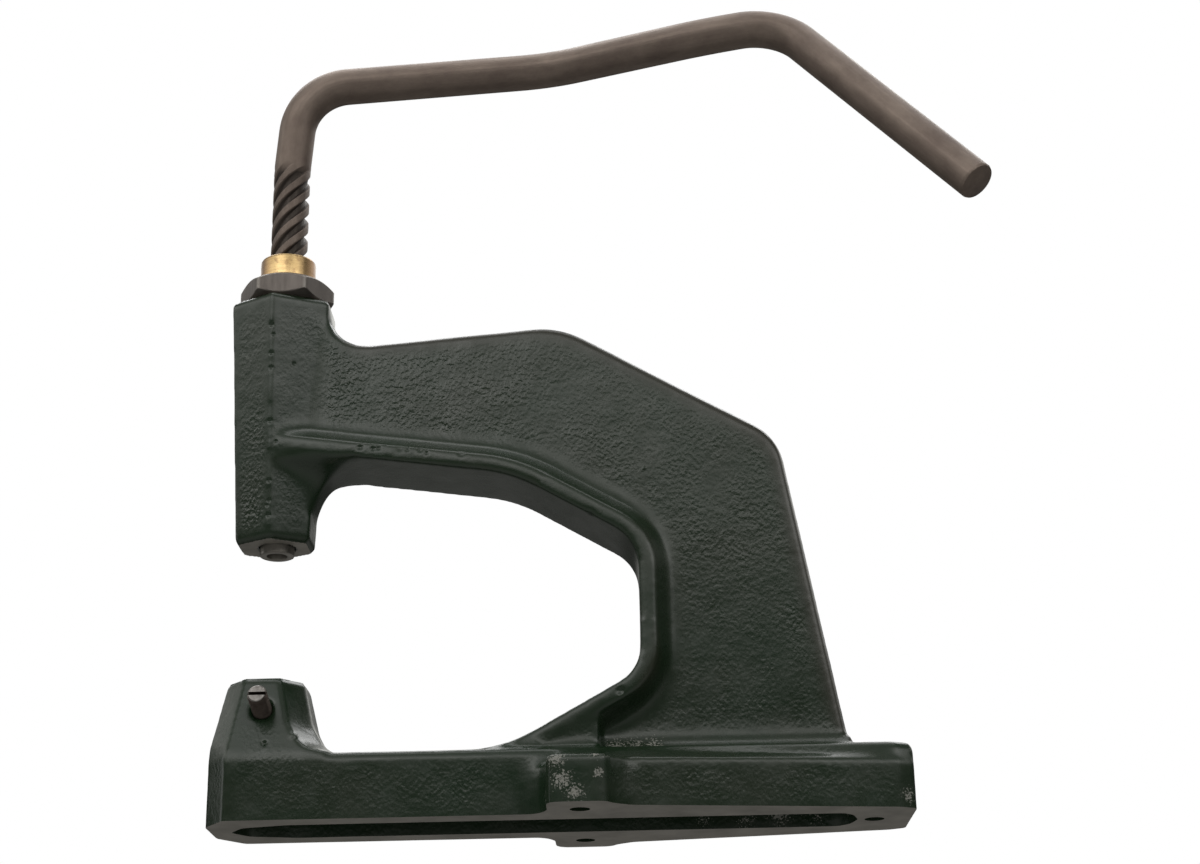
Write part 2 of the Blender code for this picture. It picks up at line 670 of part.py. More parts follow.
def build_frame():
    frame = loft("base_bar", base_bar_rings())
    for name, rings in (("skirt", skirt_rings()), ("lugs", lug_rings()), ("pillar", pillar_rings()),
                        ("head", head_rings()), ("head_fillet", head_fillet_rings()),
                        ("web", web_rings()), ("flange", flange_rings()), ("ramp", ramp_rings()),
                        ("foot_flare", foot_flare_rings())):
        combine(frame, loft(name, rings), "UNION")
    combine(frame, loft("groove", groove_rings()))
    combine(frame, frame_bore())
    for name, x, y in (("bolt_hole_near", SIDE_BOLT_X, -SIDE_BOLT_SPACING / 2),
                       ("bolt_hole_far", SIDE_BOLT_X, SIDE_BOLT_SPACING / 2),
                       ("bolt_hole_rear", REAR_REACH - REAR_BOLT_INSET, 0)):
        combine(frame, cylinder(name, BOLT_HOLE_RADIUS, (x, y, -OVERRUN),
                                (x, y, BASE_HEIGHT + OVERRUN), FINE_STEPS))
    combine(frame, cylinder("die_hole", DIE_HOLE_RADIUS, (0, 0, PILLAR_TOP_Z - DIE_HOLE_DEPTH),
                            (0, 0, PILLAR_TOP_Z + OVERRUN)))
    direction, root, wall = clamp_axis()
    combine(frame, cylinder("clamp_hole", CLAMP_RADIUS + GAP, wall - direction * OVERRUN,
                            root + direction * 2 * OVERRUN, FINE_STEPS))
    combine(frame, cylinder("key_screw_hole", KEY_SCREW_RADIUS + GAP,
                            (head_end(key_screw_z(), -1) - OVERRUN, 0, key_screw_z()),
                            (-RAM_RADIUS + OVERRUN, 0, key_screw_z()), FINE_STEPS))
    return finish(frame, "frame_casting", GREEN_PAINT)


# Spindle and handle

def thread_section():
    """Cross-section of the five-start thread: broad lands between sloping flanks."""
    pitch = math.tau / THREAD_STARTS
    crest = THREAD_RADIUS
    root = THREAD_RADIUS - THREAD_DEPTH
    land = pitch * LAND_SHARE / 2
    flank = pitch * FLANK_SHARE
    points = []
    for start in range(THREAD_STARTS):
        centre = start * pitch
        for angle, radius in ((-land - flank, root), (-land, crest), (0, crest), (land, crest),
                              (land + flank, root), (pitch / 2, root)):
            points.append((radius * math.cos(centre + angle), radius * math.sin(centre + angle)))
    return points


def tail_profile():
    """Turned end below the thread: a neck between two collars, held by the cross pins."""
    top = THREAD_BOTTOM_Z + OVERRUN
    shoulder = THREAD_BOTTOM_Z
    end = shoulder - TAIL_LENGTH
    neck_high = shoulder - TAIL_NECK_OFFSET
    neck_low = neck_high - TAIL_NECK_LENGTH
    ease = (TAIL_RADIUS - TAIL_NECK_RADIUS) / 4
    return [(0, top), (TAIL_RADIUS, top), (TAIL_RADIUS, neck_high), (TAIL_NECK_RADIUS, neck_high),
            (TAIL_NECK_RADIUS, neck_low), (TAIL_RADIUS, neck_low), (TAIL_RADIUS, end + ease),
            (TAIL_RADIUS - ease, end), (0, end)]


def handle_route():
    """Centre line of the bent bar, from inside the thread to the free tip."""
    return rounded_path([
        ((0, 0, BAR_START_Z), 0),
        ((0, 0, LEAN_Z), LEAN_RADIUS),
        ((ELBOW_X, ELBOW_Y, ELBOW_Z), ELBOW_RADIUS),
        ((CRANK_X, CRANK_Y, CRANK_Z), CRANK_RADIUS),
        ((SWAY_X, SWAY_Y, SWAY_Z), SWAY_RADIUS),
        ((WRIST_X, WRIST_Y, WRIST_Z), WRIST_RADIUS),
        ((TIP_X, TIP_Y, TIP_Z), 0)])


def swept_bar(name, route):
    """Round bar along a route, with an eased free end."""
    end = route[-1]
    back = (route[-2] - end).normalized() * BAR_TIP_CHAMFER
    route = route[:-1] + [end + back, end]
    data = bpy.data.curves.new(name, "CURVE")
    data.dimensions = "3D"
    data.bevel_depth = BAR_RADIUS
    data.bevel_resolution = 9
    data.use_fill_caps = True
    spline = data.splines.new("POLY")
    spline.points.add(len(route) - 1)
    for point, place in zip(spline.points, route):
        point.co = (*place, 1.0)
    spline.points[-1].radius = 1 - BAR_TIP_CHAMFER / BAR_RADIUS
    curve = new_object(name + "_curve", data)
    bm = bmesh.new()
    bm.from_mesh(evaluated_mesh(curve))
    bpy.data.objects.remove(curve, do_unlink=True)
    bmesh.ops.remove_doubles(bm, verts=bm.verts, dist=MERGE_DISTANCE)
    return from_bmesh(name, bm)


def build_spindle():
    spindle = twisted_bar("thread", thread_section(), THREAD_LENGTH, THREAD_LEAD, THREAD_STEPS)
    spindle.location.z = THREAD_BOTTOM_Z
    for tool in (swept_bar("handle_bar", handle_route()), turned("tail", tail_profile())):
        combine(spindle, tool, "UNION")
    bpy.context.view_layer.update()
    return finish(spindle, "spindle_handle", BLACK_STEEL)


# Ram and its swivel

def socket_floor_z():
    return THREAD_BOTTOM_Z - TAIL_LENGTH - 2 * BALL_RADIUS - SOCKET_FLOOR_CLEARANCE - GAP


def pin_offset():
    return TAIL_NECK_RADIUS + GAP + PIN_RADIUS


def pin_z():
    return THREAD_BOTTOM_Z - TAIL_NECK_OFFSET - TAIL_NECK_LENGTH / 2


def pin_half_length():
    """Half the length at which a pin's ends reach the ram's round outside."""
    return math.sqrt(RAM_RADIUS ** 2 - (pin_offset() + PIN_RADIUS) ** 2)


def ram_bottom_z():
    return HEAD_BOTTOM_Z - RAM_PROTRUSION


def key_screw_z():
    return HEAD_BOTTOM_Z + KEY_SCREW_HEIGHT


def ram_profile():
    top = THREAD_BOTTOM_Z - GAP
    bottom = ram_bottom_z()
    bore = TAIL_RADIUS + GAP
    floor = socket_floor_z()
    ease = RAM_MOUTH_CHAMFER
    mouth = DIE_SOCKET_RADIUS
    return [(0, floor), (bore, floor), (bore, top), (RAM_RADIUS - ease, top), (RAM_RADIUS, top - ease),
            (RAM_RADIUS, bottom + ease), (RAM_RADIUS - ease, bottom),
            (mouth + ease / 2, bottom), (mouth, bottom + ease / 2),
            (mouth, bottom + DIE_SOCKET_DEPTH), (0, bottom + DIE_SOCKET_DEPTH)]


def build_ram():
    ram = turned("ram_blank", ram_profile())
    keyway_z = ram_bottom_z() + KEYWAY_START
    combine(ram, box("keyway", (-RAM_RADIUS - OVERRUN, -KEYWAY_WIDTH / 2, keyway_z),
                     (-RAM_RADIUS + KEYWAY_DEPTH, KEYWAY_WIDTH / 2, keyway_z + KEYWAY_LENGTH)))
    for side in (-1, 1):
        x = side * pin_offset()
        combine(ram, cylinder("pin_hole", PIN_RADIUS + GAP / 3, (x, -RAM_RADIUS - OVERRUN, pin_z()),
                              (x, RAM_RADIUS + OVERRUN, pin_z()), FINE_STEPS))
    return finish(ram, "ram", BRIGHT_STEEL)


def build_pins():
    for name, side in (("ram_pin_front", -1), ("ram_pin_rear", 1)):
        x = side * pin_offset()
        pin = cylinder("pin_blank", PIN_RADIUS, (x, -pin_half_length(), pin_z()),
                       (x, pin_half_length(), pin_z()), FINE_STEPS // 2)
        bpy.context.view_layer.update()
        finish(pin, name, BRIGHT_STEEL)


def build_ball():
    bm = bmesh.new()
    bmesh.ops.create_uvsphere(bm, u_segments=FINE_STEPS, v_segments=FINE_STEPS // 2, radius=BALL_RADIUS)
    ball = from_bmesh("ball_blank", bm)
    ball.location.z = socket_floor_z() + GAP + BALL_RADIUS
    bpy.context.view_layer.update()
    finish(ball, "thrust_ball", BRIGHT_STEEL)


def build_key_screw():
    """Dog-point screw, turned about local Z with its slotted end up, then laid along -X."""
    outer = KEY_SCREW_LENGTH
    neck = KEY_SCREW_DOG_LENGTH
    ease = (KEY_SCREW_RADIUS - KEY_SCREW_DOG_RADIUS) / 3
    screw = turned("key_screw_blank", [
        (0, outer), (KEY_SCREW_RADIUS - ease, outer), (KEY_SCREW_RADIUS, outer - ease),
        (KEY_SCREW_RADIUS, neck + ease), (KEY_SCREW_DOG_RADIUS, neck), (KEY_SCREW_DOG_RADIUS, 0),
        (0, 0)], FINE_STEPS)
    combine(screw, box("key_screw_slot",
                       (-KEY_SCREW_RADIUS - OVERRUN, -KEY_SCREW_SLOT_WIDTH / 2,
                        outer - KEY_SCREW_SLOT_DEPTH),
                       (KEY_SCREW_RADIUS + OVERRUN, KEY_SCREW_SLOT_WIDTH / 2, outer + OVERRUN)))
    piece = finish(screw, "ram_key_screw", SCREW_STEEL)
    piece.rotation_euler = (0, -math.pi / 2, 0)
    piece.location = (-RAM_RADIUS + KEYWAY_DEPTH - GAP, 0, key_screw_z())
    return piece


# Bush and lock nut

def build_bush():
    """Turned bush; its bore is plain and clears the thread's crests."""
    bore = THREAD_RADIUS + GAP
    edge = BUSH_EDGE
    finish(turned("bush_blank", [
        (bore, BUSH_TOP_Z), (BUSH_RADIUS - edge, BUSH_TOP_Z), (BUSH_RADIUS, BUSH_TOP_Z - edge),
        (BUSH_RADIUS, BUSH_BOTTOM_Z + edge), (BUSH_RADIUS - edge, BUSH_BOTTOM_Z),
        (bore, BUSH_BOTTOM_Z)]), "thread_bush", BUSH_BRASS)


def build_nut():
    """Thin hexagon nut, chamfered both sides, on the machined top of the head."""
    circumradius = NUT_ACROSS_FLATS / math.sqrt(3)
    low = HEAD_TOP_Z + GAP
    high = low + NUT_HEIGHT
    nut = cylinder("nut_blank", circumradius, (0, 0, low), (0, 0, high), 6)
    nut.rotation_mode = "XYZ"
    nut.rotation_euler.z = NUT_TURN
    drop = (circumradius + GAP - NUT_ACROSS_FLATS / 2) * math.tan(NUT_CHAMFER_ANGLE)
    flat = NUT_ACROSS_FLATS / 2
    rim = circumradius + GAP
    envelope = turned("nut_chamfer", [
        (0, high), (flat, high), (rim, high - drop), (rim, low + drop), (flat, low), (0, low)])
    combine(nut, envelope, "INTERSECT")
    combine(nut, cylinder("nut_bore", BUSH_RADIUS + GAP, (0, 0, low - OVERRUN), (0, 0, high + OVERRUN)))
    bpy.context.view_layer.update()
    return finish(nut, "lock_nut", DARK_NUT)


# Die clamp screw

def build_clamp_screw():
    """Slotted screw through the pillar's near face, turned about local Z with its slot up."""
    direction, root, wall = clamp_axis()
    tip = wall + direction * CLAMP_TIP_SETBACK
    length = (root - tip).length + CLAMP_PROTRUSION
    ease = CLAMP_EDGE
    screw = turned("clamp_blank", [
        (0, length), (CLAMP_RADIUS - ease, length), (CLAMP_RADIUS, length - ease),
        (CLAMP_RADIUS, 2 * ease), (CLAMP_RADIUS - 2 * ease, 0), (0, 0)], FINE_STEPS)
    combine(screw, box("clamp_slot",
                       (-CLAMP_RADIUS - OVERRUN, -CLAMP_SLOT_WIDTH / 2, length - CLAMP_SLOT_DEPTH),
                       (CLAMP_RADIUS + OVERRUN, CLAMP_SLOT_WIDTH / 2, length + OVERRUN)))
    piece = finish(screw, "die_clamp_screw", SCREW_STEEL)
    piece.rotation_mode = "QUATERNION"
    piece.rotation_quaternion = direction.to_track_quat("Z", "Y")
    piece.location = tip
    return piece


# Placement

def centre_on_origin():
    """Moves the whole press so that the middle of its footprint lies on the world origin."""
    bpy.context.view_layer.update()
    corners = [piece.matrix_world @ Vector(corner) for piece in PARTS.objects for corner in piece.bound_box]
    shift = Vector(((min(c.x for c in corners) + max(c.x for c in corners)) / -2,
                    (min(c.y for c in corners) + max(c.y for c in corners)) / -2,
                    -min(c.z for c in corners)))
    base = bpy.data.objects.new("press_origin", None)
    bpy.context.scene.collection.objects.link(base)
    for piece in PARTS.objects:
        piece.parent = base
    base.location = shift
    bpy.context.view_layer.update()
    print("spindle axis in the world frame, mm:", [round(v / MM, 3) for v in shift])


def main():
    build_frame()
    build_spindle()
    build_ram()
    build_pins()
    build_ball()
    build_key_screw()
    build_bush()
    build_nut()
    build_clamp_screw()
    centre_on_origin()


main()
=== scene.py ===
import itertools
import json
import math

import bmesh
import bpy
import numpy as np
from mathutils import Matrix, Vector
from mathutils.kdtree import KDTree

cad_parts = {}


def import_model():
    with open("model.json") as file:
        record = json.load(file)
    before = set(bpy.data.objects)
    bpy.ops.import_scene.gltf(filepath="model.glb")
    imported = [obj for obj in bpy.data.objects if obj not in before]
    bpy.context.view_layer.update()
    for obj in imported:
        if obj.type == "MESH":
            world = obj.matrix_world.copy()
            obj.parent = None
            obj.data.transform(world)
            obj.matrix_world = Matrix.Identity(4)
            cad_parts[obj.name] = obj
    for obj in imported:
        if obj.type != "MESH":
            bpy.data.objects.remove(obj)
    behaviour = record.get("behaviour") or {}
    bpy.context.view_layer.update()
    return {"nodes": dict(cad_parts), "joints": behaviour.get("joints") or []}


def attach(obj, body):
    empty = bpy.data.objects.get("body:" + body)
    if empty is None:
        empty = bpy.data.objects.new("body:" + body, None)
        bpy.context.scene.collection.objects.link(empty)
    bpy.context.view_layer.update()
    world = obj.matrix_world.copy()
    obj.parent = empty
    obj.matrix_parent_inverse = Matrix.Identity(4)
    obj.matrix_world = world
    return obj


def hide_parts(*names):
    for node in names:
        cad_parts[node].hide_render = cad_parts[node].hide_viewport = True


MM = 0.001
WELD_DISTANCE = 0.005 * MM

# Camera, fitted to the outlines of the base, the arm and the bar in the 1200 x 864 photograph
CAMERA_FROM_AXIS = (127.243 * MM, -694.758 * MM, -127.576 * MM)
CAMERA_AZIMUTH = 1.1218
CAMERA_ELEVATION = 21.038
CAMERA_ROLL = 1.0355
CAMERA_LENS = 62.765
CAMERA_SENSOR = 36.0
FLOOR_REACH = 4.0

# Casting surface
VOXEL = 0.72 * MM
CUT_MARGIN = 3.0 * MM
SETTLE_STEPS = 6
FILLET_STEPS = 30
FORM_STEPS = 120
HOLLOW_STEPS = 80
PIT_REACH = 3.2 * MM
HEAD_BOTTOM_Z = 98.8 * MM
HEAD_TOP_Z = 190.0 * MM
HEAD_FLAT_SHARE = 0.47
HEAD_HALF_WIDTHS = (14.1, 18.3)  # millimetres, at the head's bottom and top, as the next two
HEAD_EDGE_XS = (-1.0, -2.2)
HEAD_REAR_XS = (12.2, 16.9)
TUCK_LOW_Z = 110.1  # this and the next three in millimetres
TUCK_HEIGHT = 17.0
TUCK_FLAT = 6.63
TUCK_WIDTH = 14.9
TUCK_POWER = 6.0
PILLAR_TOP_Z = 49.2 * MM
PILLAR_TOP_WIDTH = 27.2 * MM
DIE_HOLE_RADIUS = 5.0 * MM
BORES = (  # x, y, radius, low z, high z of each round hole, from the spindle axis
    (0.0, 0.0, 6.33 * MM, 90.0 * MM, 137.0 * MM),
    (0.0, 0.0, 7.3 * MM, 136.5 * MM, 171.6 * MM),
    (0.0, 0.0, 10.3 * MM, 171.6 * MM, 195.0 * MM),
    (0.0, 0.0, DIE_HOLE_RADIUS, 25.0 * MM, 52.0 * MM),
    (105.6 * MM, -28.1 * MM, 3.3 * MM, -4.0 * MM, 18.0 * MM),
    (105.6 * MM, 28.1 * MM, 3.3 * MM, -4.0 * MM, 18.0 * MM),
    (202.2 * MM, 0.0, 3.3 * MM, -4.0 * MM, 26.0 * MM))
PITS = (  # x, y, z, radius and depth of the casting's pits (positive) and blobs (negative)
    (-2.2, -17.6, 177.1, 0.6, 0.4), (-1.2, -17.2, 173.4, 0.5, 0.3), (-2.0, -17.0, 166.4, 0.65, 0.45),
    (-1.9, -16.7, 160.8, 0.6, 0.4), (-1.6, -15.9, 141.1, 0.65, 0.4), (0.9, -15.6, 133.2, 0.5, 0.3),
    (-1.2, -14.9, 119.1, 0.6, 0.4), (-1.1, -14.6, 111.9, 0.55, 0.4), (-1.7, -14.6, 110.2, 0.5, 0.3),
    (-1.0, -14.4, 106.6, 0.65, 0.4), (6.0, -13.5, 163.5, 0.6, 0.3), (2.0, -20.5, 25.5, 0.8, 0.5),
    (11.6, -19.5, 28.2, 1.2, -0.5), (30.3, -15.0, 130.4, 1.0, 0.45), (34.8, -15.0, 129.6, 0.8, 0.4),
    (36.9, -15.0, 129.8, 0.8, 0.4), (44.2, -15.0, 129.2, 1.2, 0.4), (46.9, -15.0, 128.8, 0.7, 0.35),
    (51.4, -15.0, 128.4, 0.8, 0.35), (53.7, -15.0, 127.4, 0.7, 0.3), (65.8, -15.0, 126.8, 1.2, 0.4),
    (119.1, -18.0, 41.2, 1.2, 0.5),
    (108.3, -17.0, 101.1, 1.2, 0.45), (128.9, -9.0, 122.4, 0.5, -0.25))
WORN = (  # x, y, z and reach of the patches where the paint is worn or chipped
    (98.5, -41.0, 14.0, 7.0), (100.5, -41.0, 7.0, 8.0), (104.5, -41.0, 3.0, 7.0), (111.0, -41.0, 16.5, 6.0),
    (104.0, -39.0, 20.5, 6.0), (112.5, -39.0, 20.0, 6.0), (112.0, -41.0, 9.0, 4.0), (118.0, -12.5, 24.8, 8.0),
    (124.0, -12.5, 24.8, 8.0), (130.0, -12.5, 24.8, 8.0), (94.0, -30.0, 4.0, 6.0), (206.0, -25.0, 2.0, 4.0),
    (212.0, -20.0, 4.0, 6.0), (146.0, 9.0, 3.0, 7.0), (160.0, 9.0, 3.0, 8.0), (172.0, 9.0, 4.0, 10.0),
    (184.0, 8.0, 4.0, 9.0), (194.0, 5.0, 5.0, 6.0))
HOLLOWS = (  # x, y, z and reach of inner corners that the foundry filled softly
    (14.0, -14.0, 117.0, 12.0), (14.0, 14.0, 117.0, 12.0))
THROAT_CENTRE = (60.0 * MM, 75.0 * MM)
THROAT_RIM_REACH = 70.0 * MM

# Spindle thread and the bent bar
THREAD_STARTS = 5
THREAD_LEAD = 38.5 * MM
THREAD_RADIUS = 6.7 * MM
THREAD_DEPTH = 1.5 * MM
THREAD_BOTTOM_Z = 169.3 * MM
RUNOUT_LOW_Z = 239.5 * MM
RUNOUT_HIGH_Z = 249.0 * MM
BAR_RADIUS = 6.76 * MM
BAR_TIP_CHAMFER = 1.0 * MM
BAR_CORNERS = (
    ((0.0, 0.0, 243.5), 0.0), ((0.0, 0.0, 248.0), 35.0), ((3.3, -3.8, 279.9), 22.0),
    ((96.4, 12.9, 295.4), 30.0), ((155.7, -22.0, 287.3), 30.0), ((183.0, -17.6, 294.4), 20.0),
    ((245.3, -54.9, 206.6), 0.0))
LAND_SHARES = (-0.5, -0.42, -0.35, -0.325, -0.225, -0.207, -0.18, -0.09,
               0.0, 0.09, 0.18, 0.207, 0.225, 0.325, 0.35, 0.42)
TAIL_PROFILE = (  # z and radius up the turned end inside the ram
    (160.8, 0.0), (160.8, 3.65), (161.15, 4.0), (163.5, 4.0), (163.5, 2.6), (166.6, 2.6),
    (166.6, 4.0), (169.3, 4.0))

# Bush, nut, ram and screws
GAP = 0.3 * MM
BUSH_RADIUS = 10.0 * MM
BUSH_BOTTOM_Z = 172.0 * MM
BUSH_TOP_Z = 209.0 * MM
BUSH_PROFILE = (  # radius and z outside, in millimetres, from the bottom's inner edge to the top's
    (8.0, 172.0), (9.2, 172.0), (10.0, 172.8), (10.0, 185.0), (10.0, 198.0), (10.0, 208.0),
    (9.94, 208.35), (9.7, 208.75), (9.25, 209.0), (7.9, 209.0), (7.55, 208.9))
BUSH_THREAD_ROWS = 60
BUSH_MOUTH = 0.25 * MM
NUT_ACROSS_FLATS = 30.0 * MM
NUT_LOW_Z = 190.3 * MM
NUT_HIGH_Z = 199.3 * MM
NUT_TURN = -28.9
NUT_CHAMFER_ANGLE = 35.0
NUT_CHAMFER_INSET = 1.3 * MM
NUT_CORNER_EASE = 0.25 * MM
NUT_EDGE_EASE = 0.12 * MM
NUT_BORE_EASE = 0.6 * MM
NUT_BORE_PLAY = 0.1 * MM
NUT_STEPS = 144
RAM_PROFILE = (  # radius and z, in millimetres: the spindle's socket, outside, then the die's socket
    (0, 154.1), (4.3, 154.1), (4.3, 169.0), (5.6, 169.0), (6.03, 168.5), (6.03, 150.0), (6.03, 120.0),
    (6.03, 96.45), (5.95, 96.1), (5.5, 95.9), (3.9, 95.9), (3.6, 96.05), (3.5, 96.3), (3.5, 106.4),
    (0, 106.4))
KEYWAY_LOW = (-9.0, -1.85, 107.4)
KEYWAY_HIGH = (-4.53, 1.85, 145.6)
CLAMP_TILT = 15.4
CLAMP_Z = 37.8 * MM
CLAMP_END_GAP = 0.6 * MM
CLAMP_AROUND = 48
CLAMP_ROW = 0.125 * MM
CLAMP_END_EASE = 0.6 * MM
SLOT_HALF_WIDTH = 0.6
SLOT_DEPTH = 1.6
CLAMP_RADIUS = 3.3 * MM
CLAMP_PITCH = 1.25 * MM
CLAMP_THREAD_DEPTH = 0.6 * MM
CLAMP_STUB = 10.6 * MM


# Scene set-up

def make_camera(axis):
    data = bpy.data.cameras.new("camera")
    data.lens = CAMERA_LENS
    data.sensor_width = CAMERA_SENSOR
    data.sensor_fit = "HORIZONTAL"
    data.clip_start = 0.01
    data.clip_end = 50.0
    camera = bpy.data.objects.new("camera", data)
    bpy.context.scene.collection.objects.link(camera)
    turn = Matrix.Rotation(math.radians(CAMERA_AZIMUTH), 3, "Z")
    turn = turn @ Matrix.Rotation(math.radians(90.0 + CAMERA_ELEVATION), 3, "X")
    turn = turn @ Matrix.Rotation(math.radians(-CAMERA_ROLL), 3, "Z")
    camera.rotation_mode = "QUATERNION"
    camera.rotation_quaternion = turn.to_quaternion()
    camera.location = axis + Vector(CAMERA_FROM_AXIS)
    bpy.context.scene.camera = camera
    bpy.context.scene.view_settings.view_transform = "Standard"


def area_light(name, location, target, size, power):
    data = bpy.data.lights.new(name, "AREA")
    data.shape = "RECTANGLE"
    data.size = size[0]
    data.size_y = size[1]
    data.energy = power
    light = bpy.data.objects.new(name, data)
    bpy.context.scene.collection.objects.link(light)
    light.location = location
    light.rotation_mode = "QUATERNION"
    light.rotation_quaternion = (Vector(target) - Vector(location)).to_track_quat("-Z", "Y")
    light.visible_camera = False


def warm(value):
    return (value, value * 0.99, value * 0.95, 1.0)


def fill_ramp(ramp, stops):
    """Sets a ramp node's stops from (position, value) pairs."""
    elements = ramp.color_ramp.elements
    elements[0].position = stops[0][0]
    elements[0].color = warm(stops[0][1])
    elements[1].position = stops[-1][0]
    elements[1].color = warm(stops[-1][1])
    for position, value in stops[1:-1]:
        elements.new(position).color = warm(value)


def make_world():
    """White to the camera; for the light, a soft room: a bright band in front, above eye level, dim
    towards the right side and the back, and a little brighter again straight behind the press."""
    world = bpy.data.worlds.new("studio")
    bpy.context.scene.world = world
    world.use_nodes = True
    tree = world.node_tree
    room = tree.nodes["Background"]
    coords = tree.nodes.new("ShaderNodeTexCoord")
    split = tree.nodes.new("ShaderNodeSeparateXYZ")
    ramp = tree.nodes.new("ShaderNodeValToRGB")
    height = tree.nodes.new("ShaderNodeMapRange")
    height.inputs["From Min"].default_value = -1.0
    height.inputs["From Max"].default_value = 1.0
    tree.links.new(coords.outputs["Generated"], split.inputs[0])
    tree.links.new(split.outputs["Z"], height.inputs["Value"])
    tree.links.new(height.outputs["Result"], ramp.inputs["Fac"])
    tree.links.new(ramp.outputs["Color"], room.inputs["Color"])
    stops = ((0.0, 0.42), (0.25, 0.36), (0.41, 0.27), (0.5, 0.10), (0.61, 0.07), (0.65, 0.43),
             (0.68, 1.4), (0.71, 2.5), (0.75, 1.9), (0.81, 0.45), (0.92, 0.45), (1.0, 0.9))
    fill_ramp(ramp, stops)
    depth = tree.nodes.new("ShaderNodeMapRange")
    depth.inputs["From Min"].default_value = -1.0
    depth.inputs["From Max"].default_value = 1.0
    sides = tree.nodes.new("ShaderNodeValToRGB")
    fill_ramp(sides, ((0.0, 1.0), (0.27, 1.0), (0.45, 0.62), (0.56, 0.30), (0.72, 0.30), (0.9, 0.7)))
    behind = tree.nodes.new("ShaderNodeVectorMath")
    behind.operation = "DOT_PRODUCT"
    behind.inputs[1].default_value = (0.3, 0.954, 0.0)
    tree.links.new(coords.outputs["Generated"], behind.inputs[0])
    tree.links.new(behind.outputs["Value"], depth.inputs["Value"])
    tree.links.new(depth.outputs["Result"], sides.inputs["Fac"])
    tree.links.new(sides.outputs["Color"], room.inputs["Strength"])
    white = tree.nodes.new("ShaderNodeBackground")
    white.inputs["Color"].default_value = (1.0, 1.0, 1.0, 1.0)
    white.inputs["Strength"].default_value = 1.0
    path = tree.nodes.new("ShaderNodeLightPath")
    mix = tree.nodes.new("ShaderNodeMixShader")
    tree.links.new(path.outputs["Is Camera Ray"], mix.inputs["Fac"])
    tree.links.new(room.outputs["Background"], mix.inputs[1])
    tree.links.new(white.outputs["Background"], mix.inputs[2])
    tree.links.new(mix.outputs["Shader"], tree.nodes["World Output"].inputs["Surface"])


def make_lights():
    area_light("key", (-0.55, -1.05, 0.95), (-0.02, 0.0, 0.12), (0.9, 0.7), 1.6)
    area_light("fill", (0.9, -0.9, 0.75), (0.0, 0.0, 0.12), (0.8, 0.6), 1.0)
    area_light("top", (0.0, 0.1, 1.2), (0.0, 0.0, 0.1), (1.0, 0.8), 4.0)
    area_light("left", (-1.26, 0.29, 0.25), (-0.13, -0.03, 0.02), (0.5, 0.35), 0.38)
    area_light("rear_left", (-0.45, 0.75, 1.35), (0.0, 0.0, 0.12), (0.7, 0.5), 4.5)
    area_light("rear_right", (0.55, 0.85, 1.35), (0.0, 0.0, 0.12), (0.7, 0.5), 4.5)


def make_floor():
    """Pale floor under the feet, fading out far away. It is clear from below, where the camera stands."""
    mesh = bpy.data.meshes.new("floor")
    mesh.from_pydata([(-FLOOR_REACH, -FLOOR_REACH, 0.0), (FLOOR_REACH, -FLOOR_REACH, 0.0),
                      (FLOOR_REACH, FLOOR_REACH, 0.0), (-FLOOR_REACH, FLOOR_REACH, 0.0)], [], [(0, 1, 2, 3)])
    floor = bpy.data.objects.new("floor", mesh)
    bpy.context.scene.collection.objects.link(floor)
    floor.location.z = -0.15 * MM
    m = Nodes("floor_white")
    m.shader.inputs["Base Color"].default_value = (0.86, 0.86, 0.855, 1.0)
    m.shader.inputs["Roughness"].default_value = 0.9
    clear = m.node("ShaderNodeBsdfTransparent")
    mix = m.node("ShaderNodeMixShader")
    coords = m.node("ShaderNodeTexCoord")
    away = m.node("ShaderNodeVectorMath", operation="LENGTH")
    m.link(coords.outputs["Object"], away.inputs[0])
    far = m.ranged(away.outputs["Value"], FLOOR_REACH * 0.15, FLOOR_REACH * 0.95)
    geometry = m.node("ShaderNodeNewGeometry")
    m.link(m.math("MAXIMUM", geometry.outputs["Backfacing"], far), mix.inputs["Fac"])
    m.link(m.shader.outputs["BSDF"], mix.inputs[1])
    m.link(clear.outputs["BSDF"], mix.inputs[2])
    m.link(mix.outputs["Shader"], m.tree.nodes["Material Output"].inputs["Surface"])
    mesh.materials.append(m.material)
    floor.visible_shadow = False
    floor.visible_diffuse = False
    floor.visible_glossy = False


# Shared helpers

def lattice_noise(points, spacing, seed):
    """Smooth noise from -1 to 1 at each point, from hashed values on a lattice."""
    places = points / spacing
    cell = np.floor(places).astype(np.int64)
    share = places - cell
    share = share * share * (3 - 2 * share)
    total = np.zeros(len(points))
    for corner in itertools.product((0, 1), repeat=3):
        at = cell + np.array(corner)
        mixed = (at[:, 0] * 73856093) ^ (at[:, 1] * 19349663) ^ (at[:, 2] * 83492791) ^ (seed * 40503)
        mixed = (mixed ^ (mixed >> 13)) * 1274126177 & 0x7FFFFFFF
        mixed = (mixed ^ (mixed >> 11)) % 65536
        weight = np.prod(np.where(np.array(corner) == 1, share, 1 - share), axis=1)
        total += (mixed / 32768.0 - 1.0) * weight
    return total


def add_piece(name, mesh, body, nodes, material=None):
    piece = bpy.data.objects.new(name, mesh)
    bpy.context.scene.collection.objects.link(piece)
    if material is not None:
        mesh.materials.append(material)
    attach(piece, body)
    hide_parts(*nodes)
    return piece


def grid_faces(rows, columns):
    """Quads between successive rows of points; each row is a closed loop."""
    faces = []
    for row in range(rows - 1):
        low, high = row * columns, (row + 1) * columns
        for column in range(columns):
            following = (column + 1) % columns
            faces.append((low + column, low + following, high + following, high + column))
    return faces


def read_mesh(mesh):
    co = np.empty(len(mesh.vertices) * 3)
    mesh.vertices.foreach_get("co", co)
    return co.reshape(-1, 3)


def write_mesh(mesh, co):
    mesh.vertices.foreach_set("co", co.astype(np.float32).ravel())
    mesh.update()


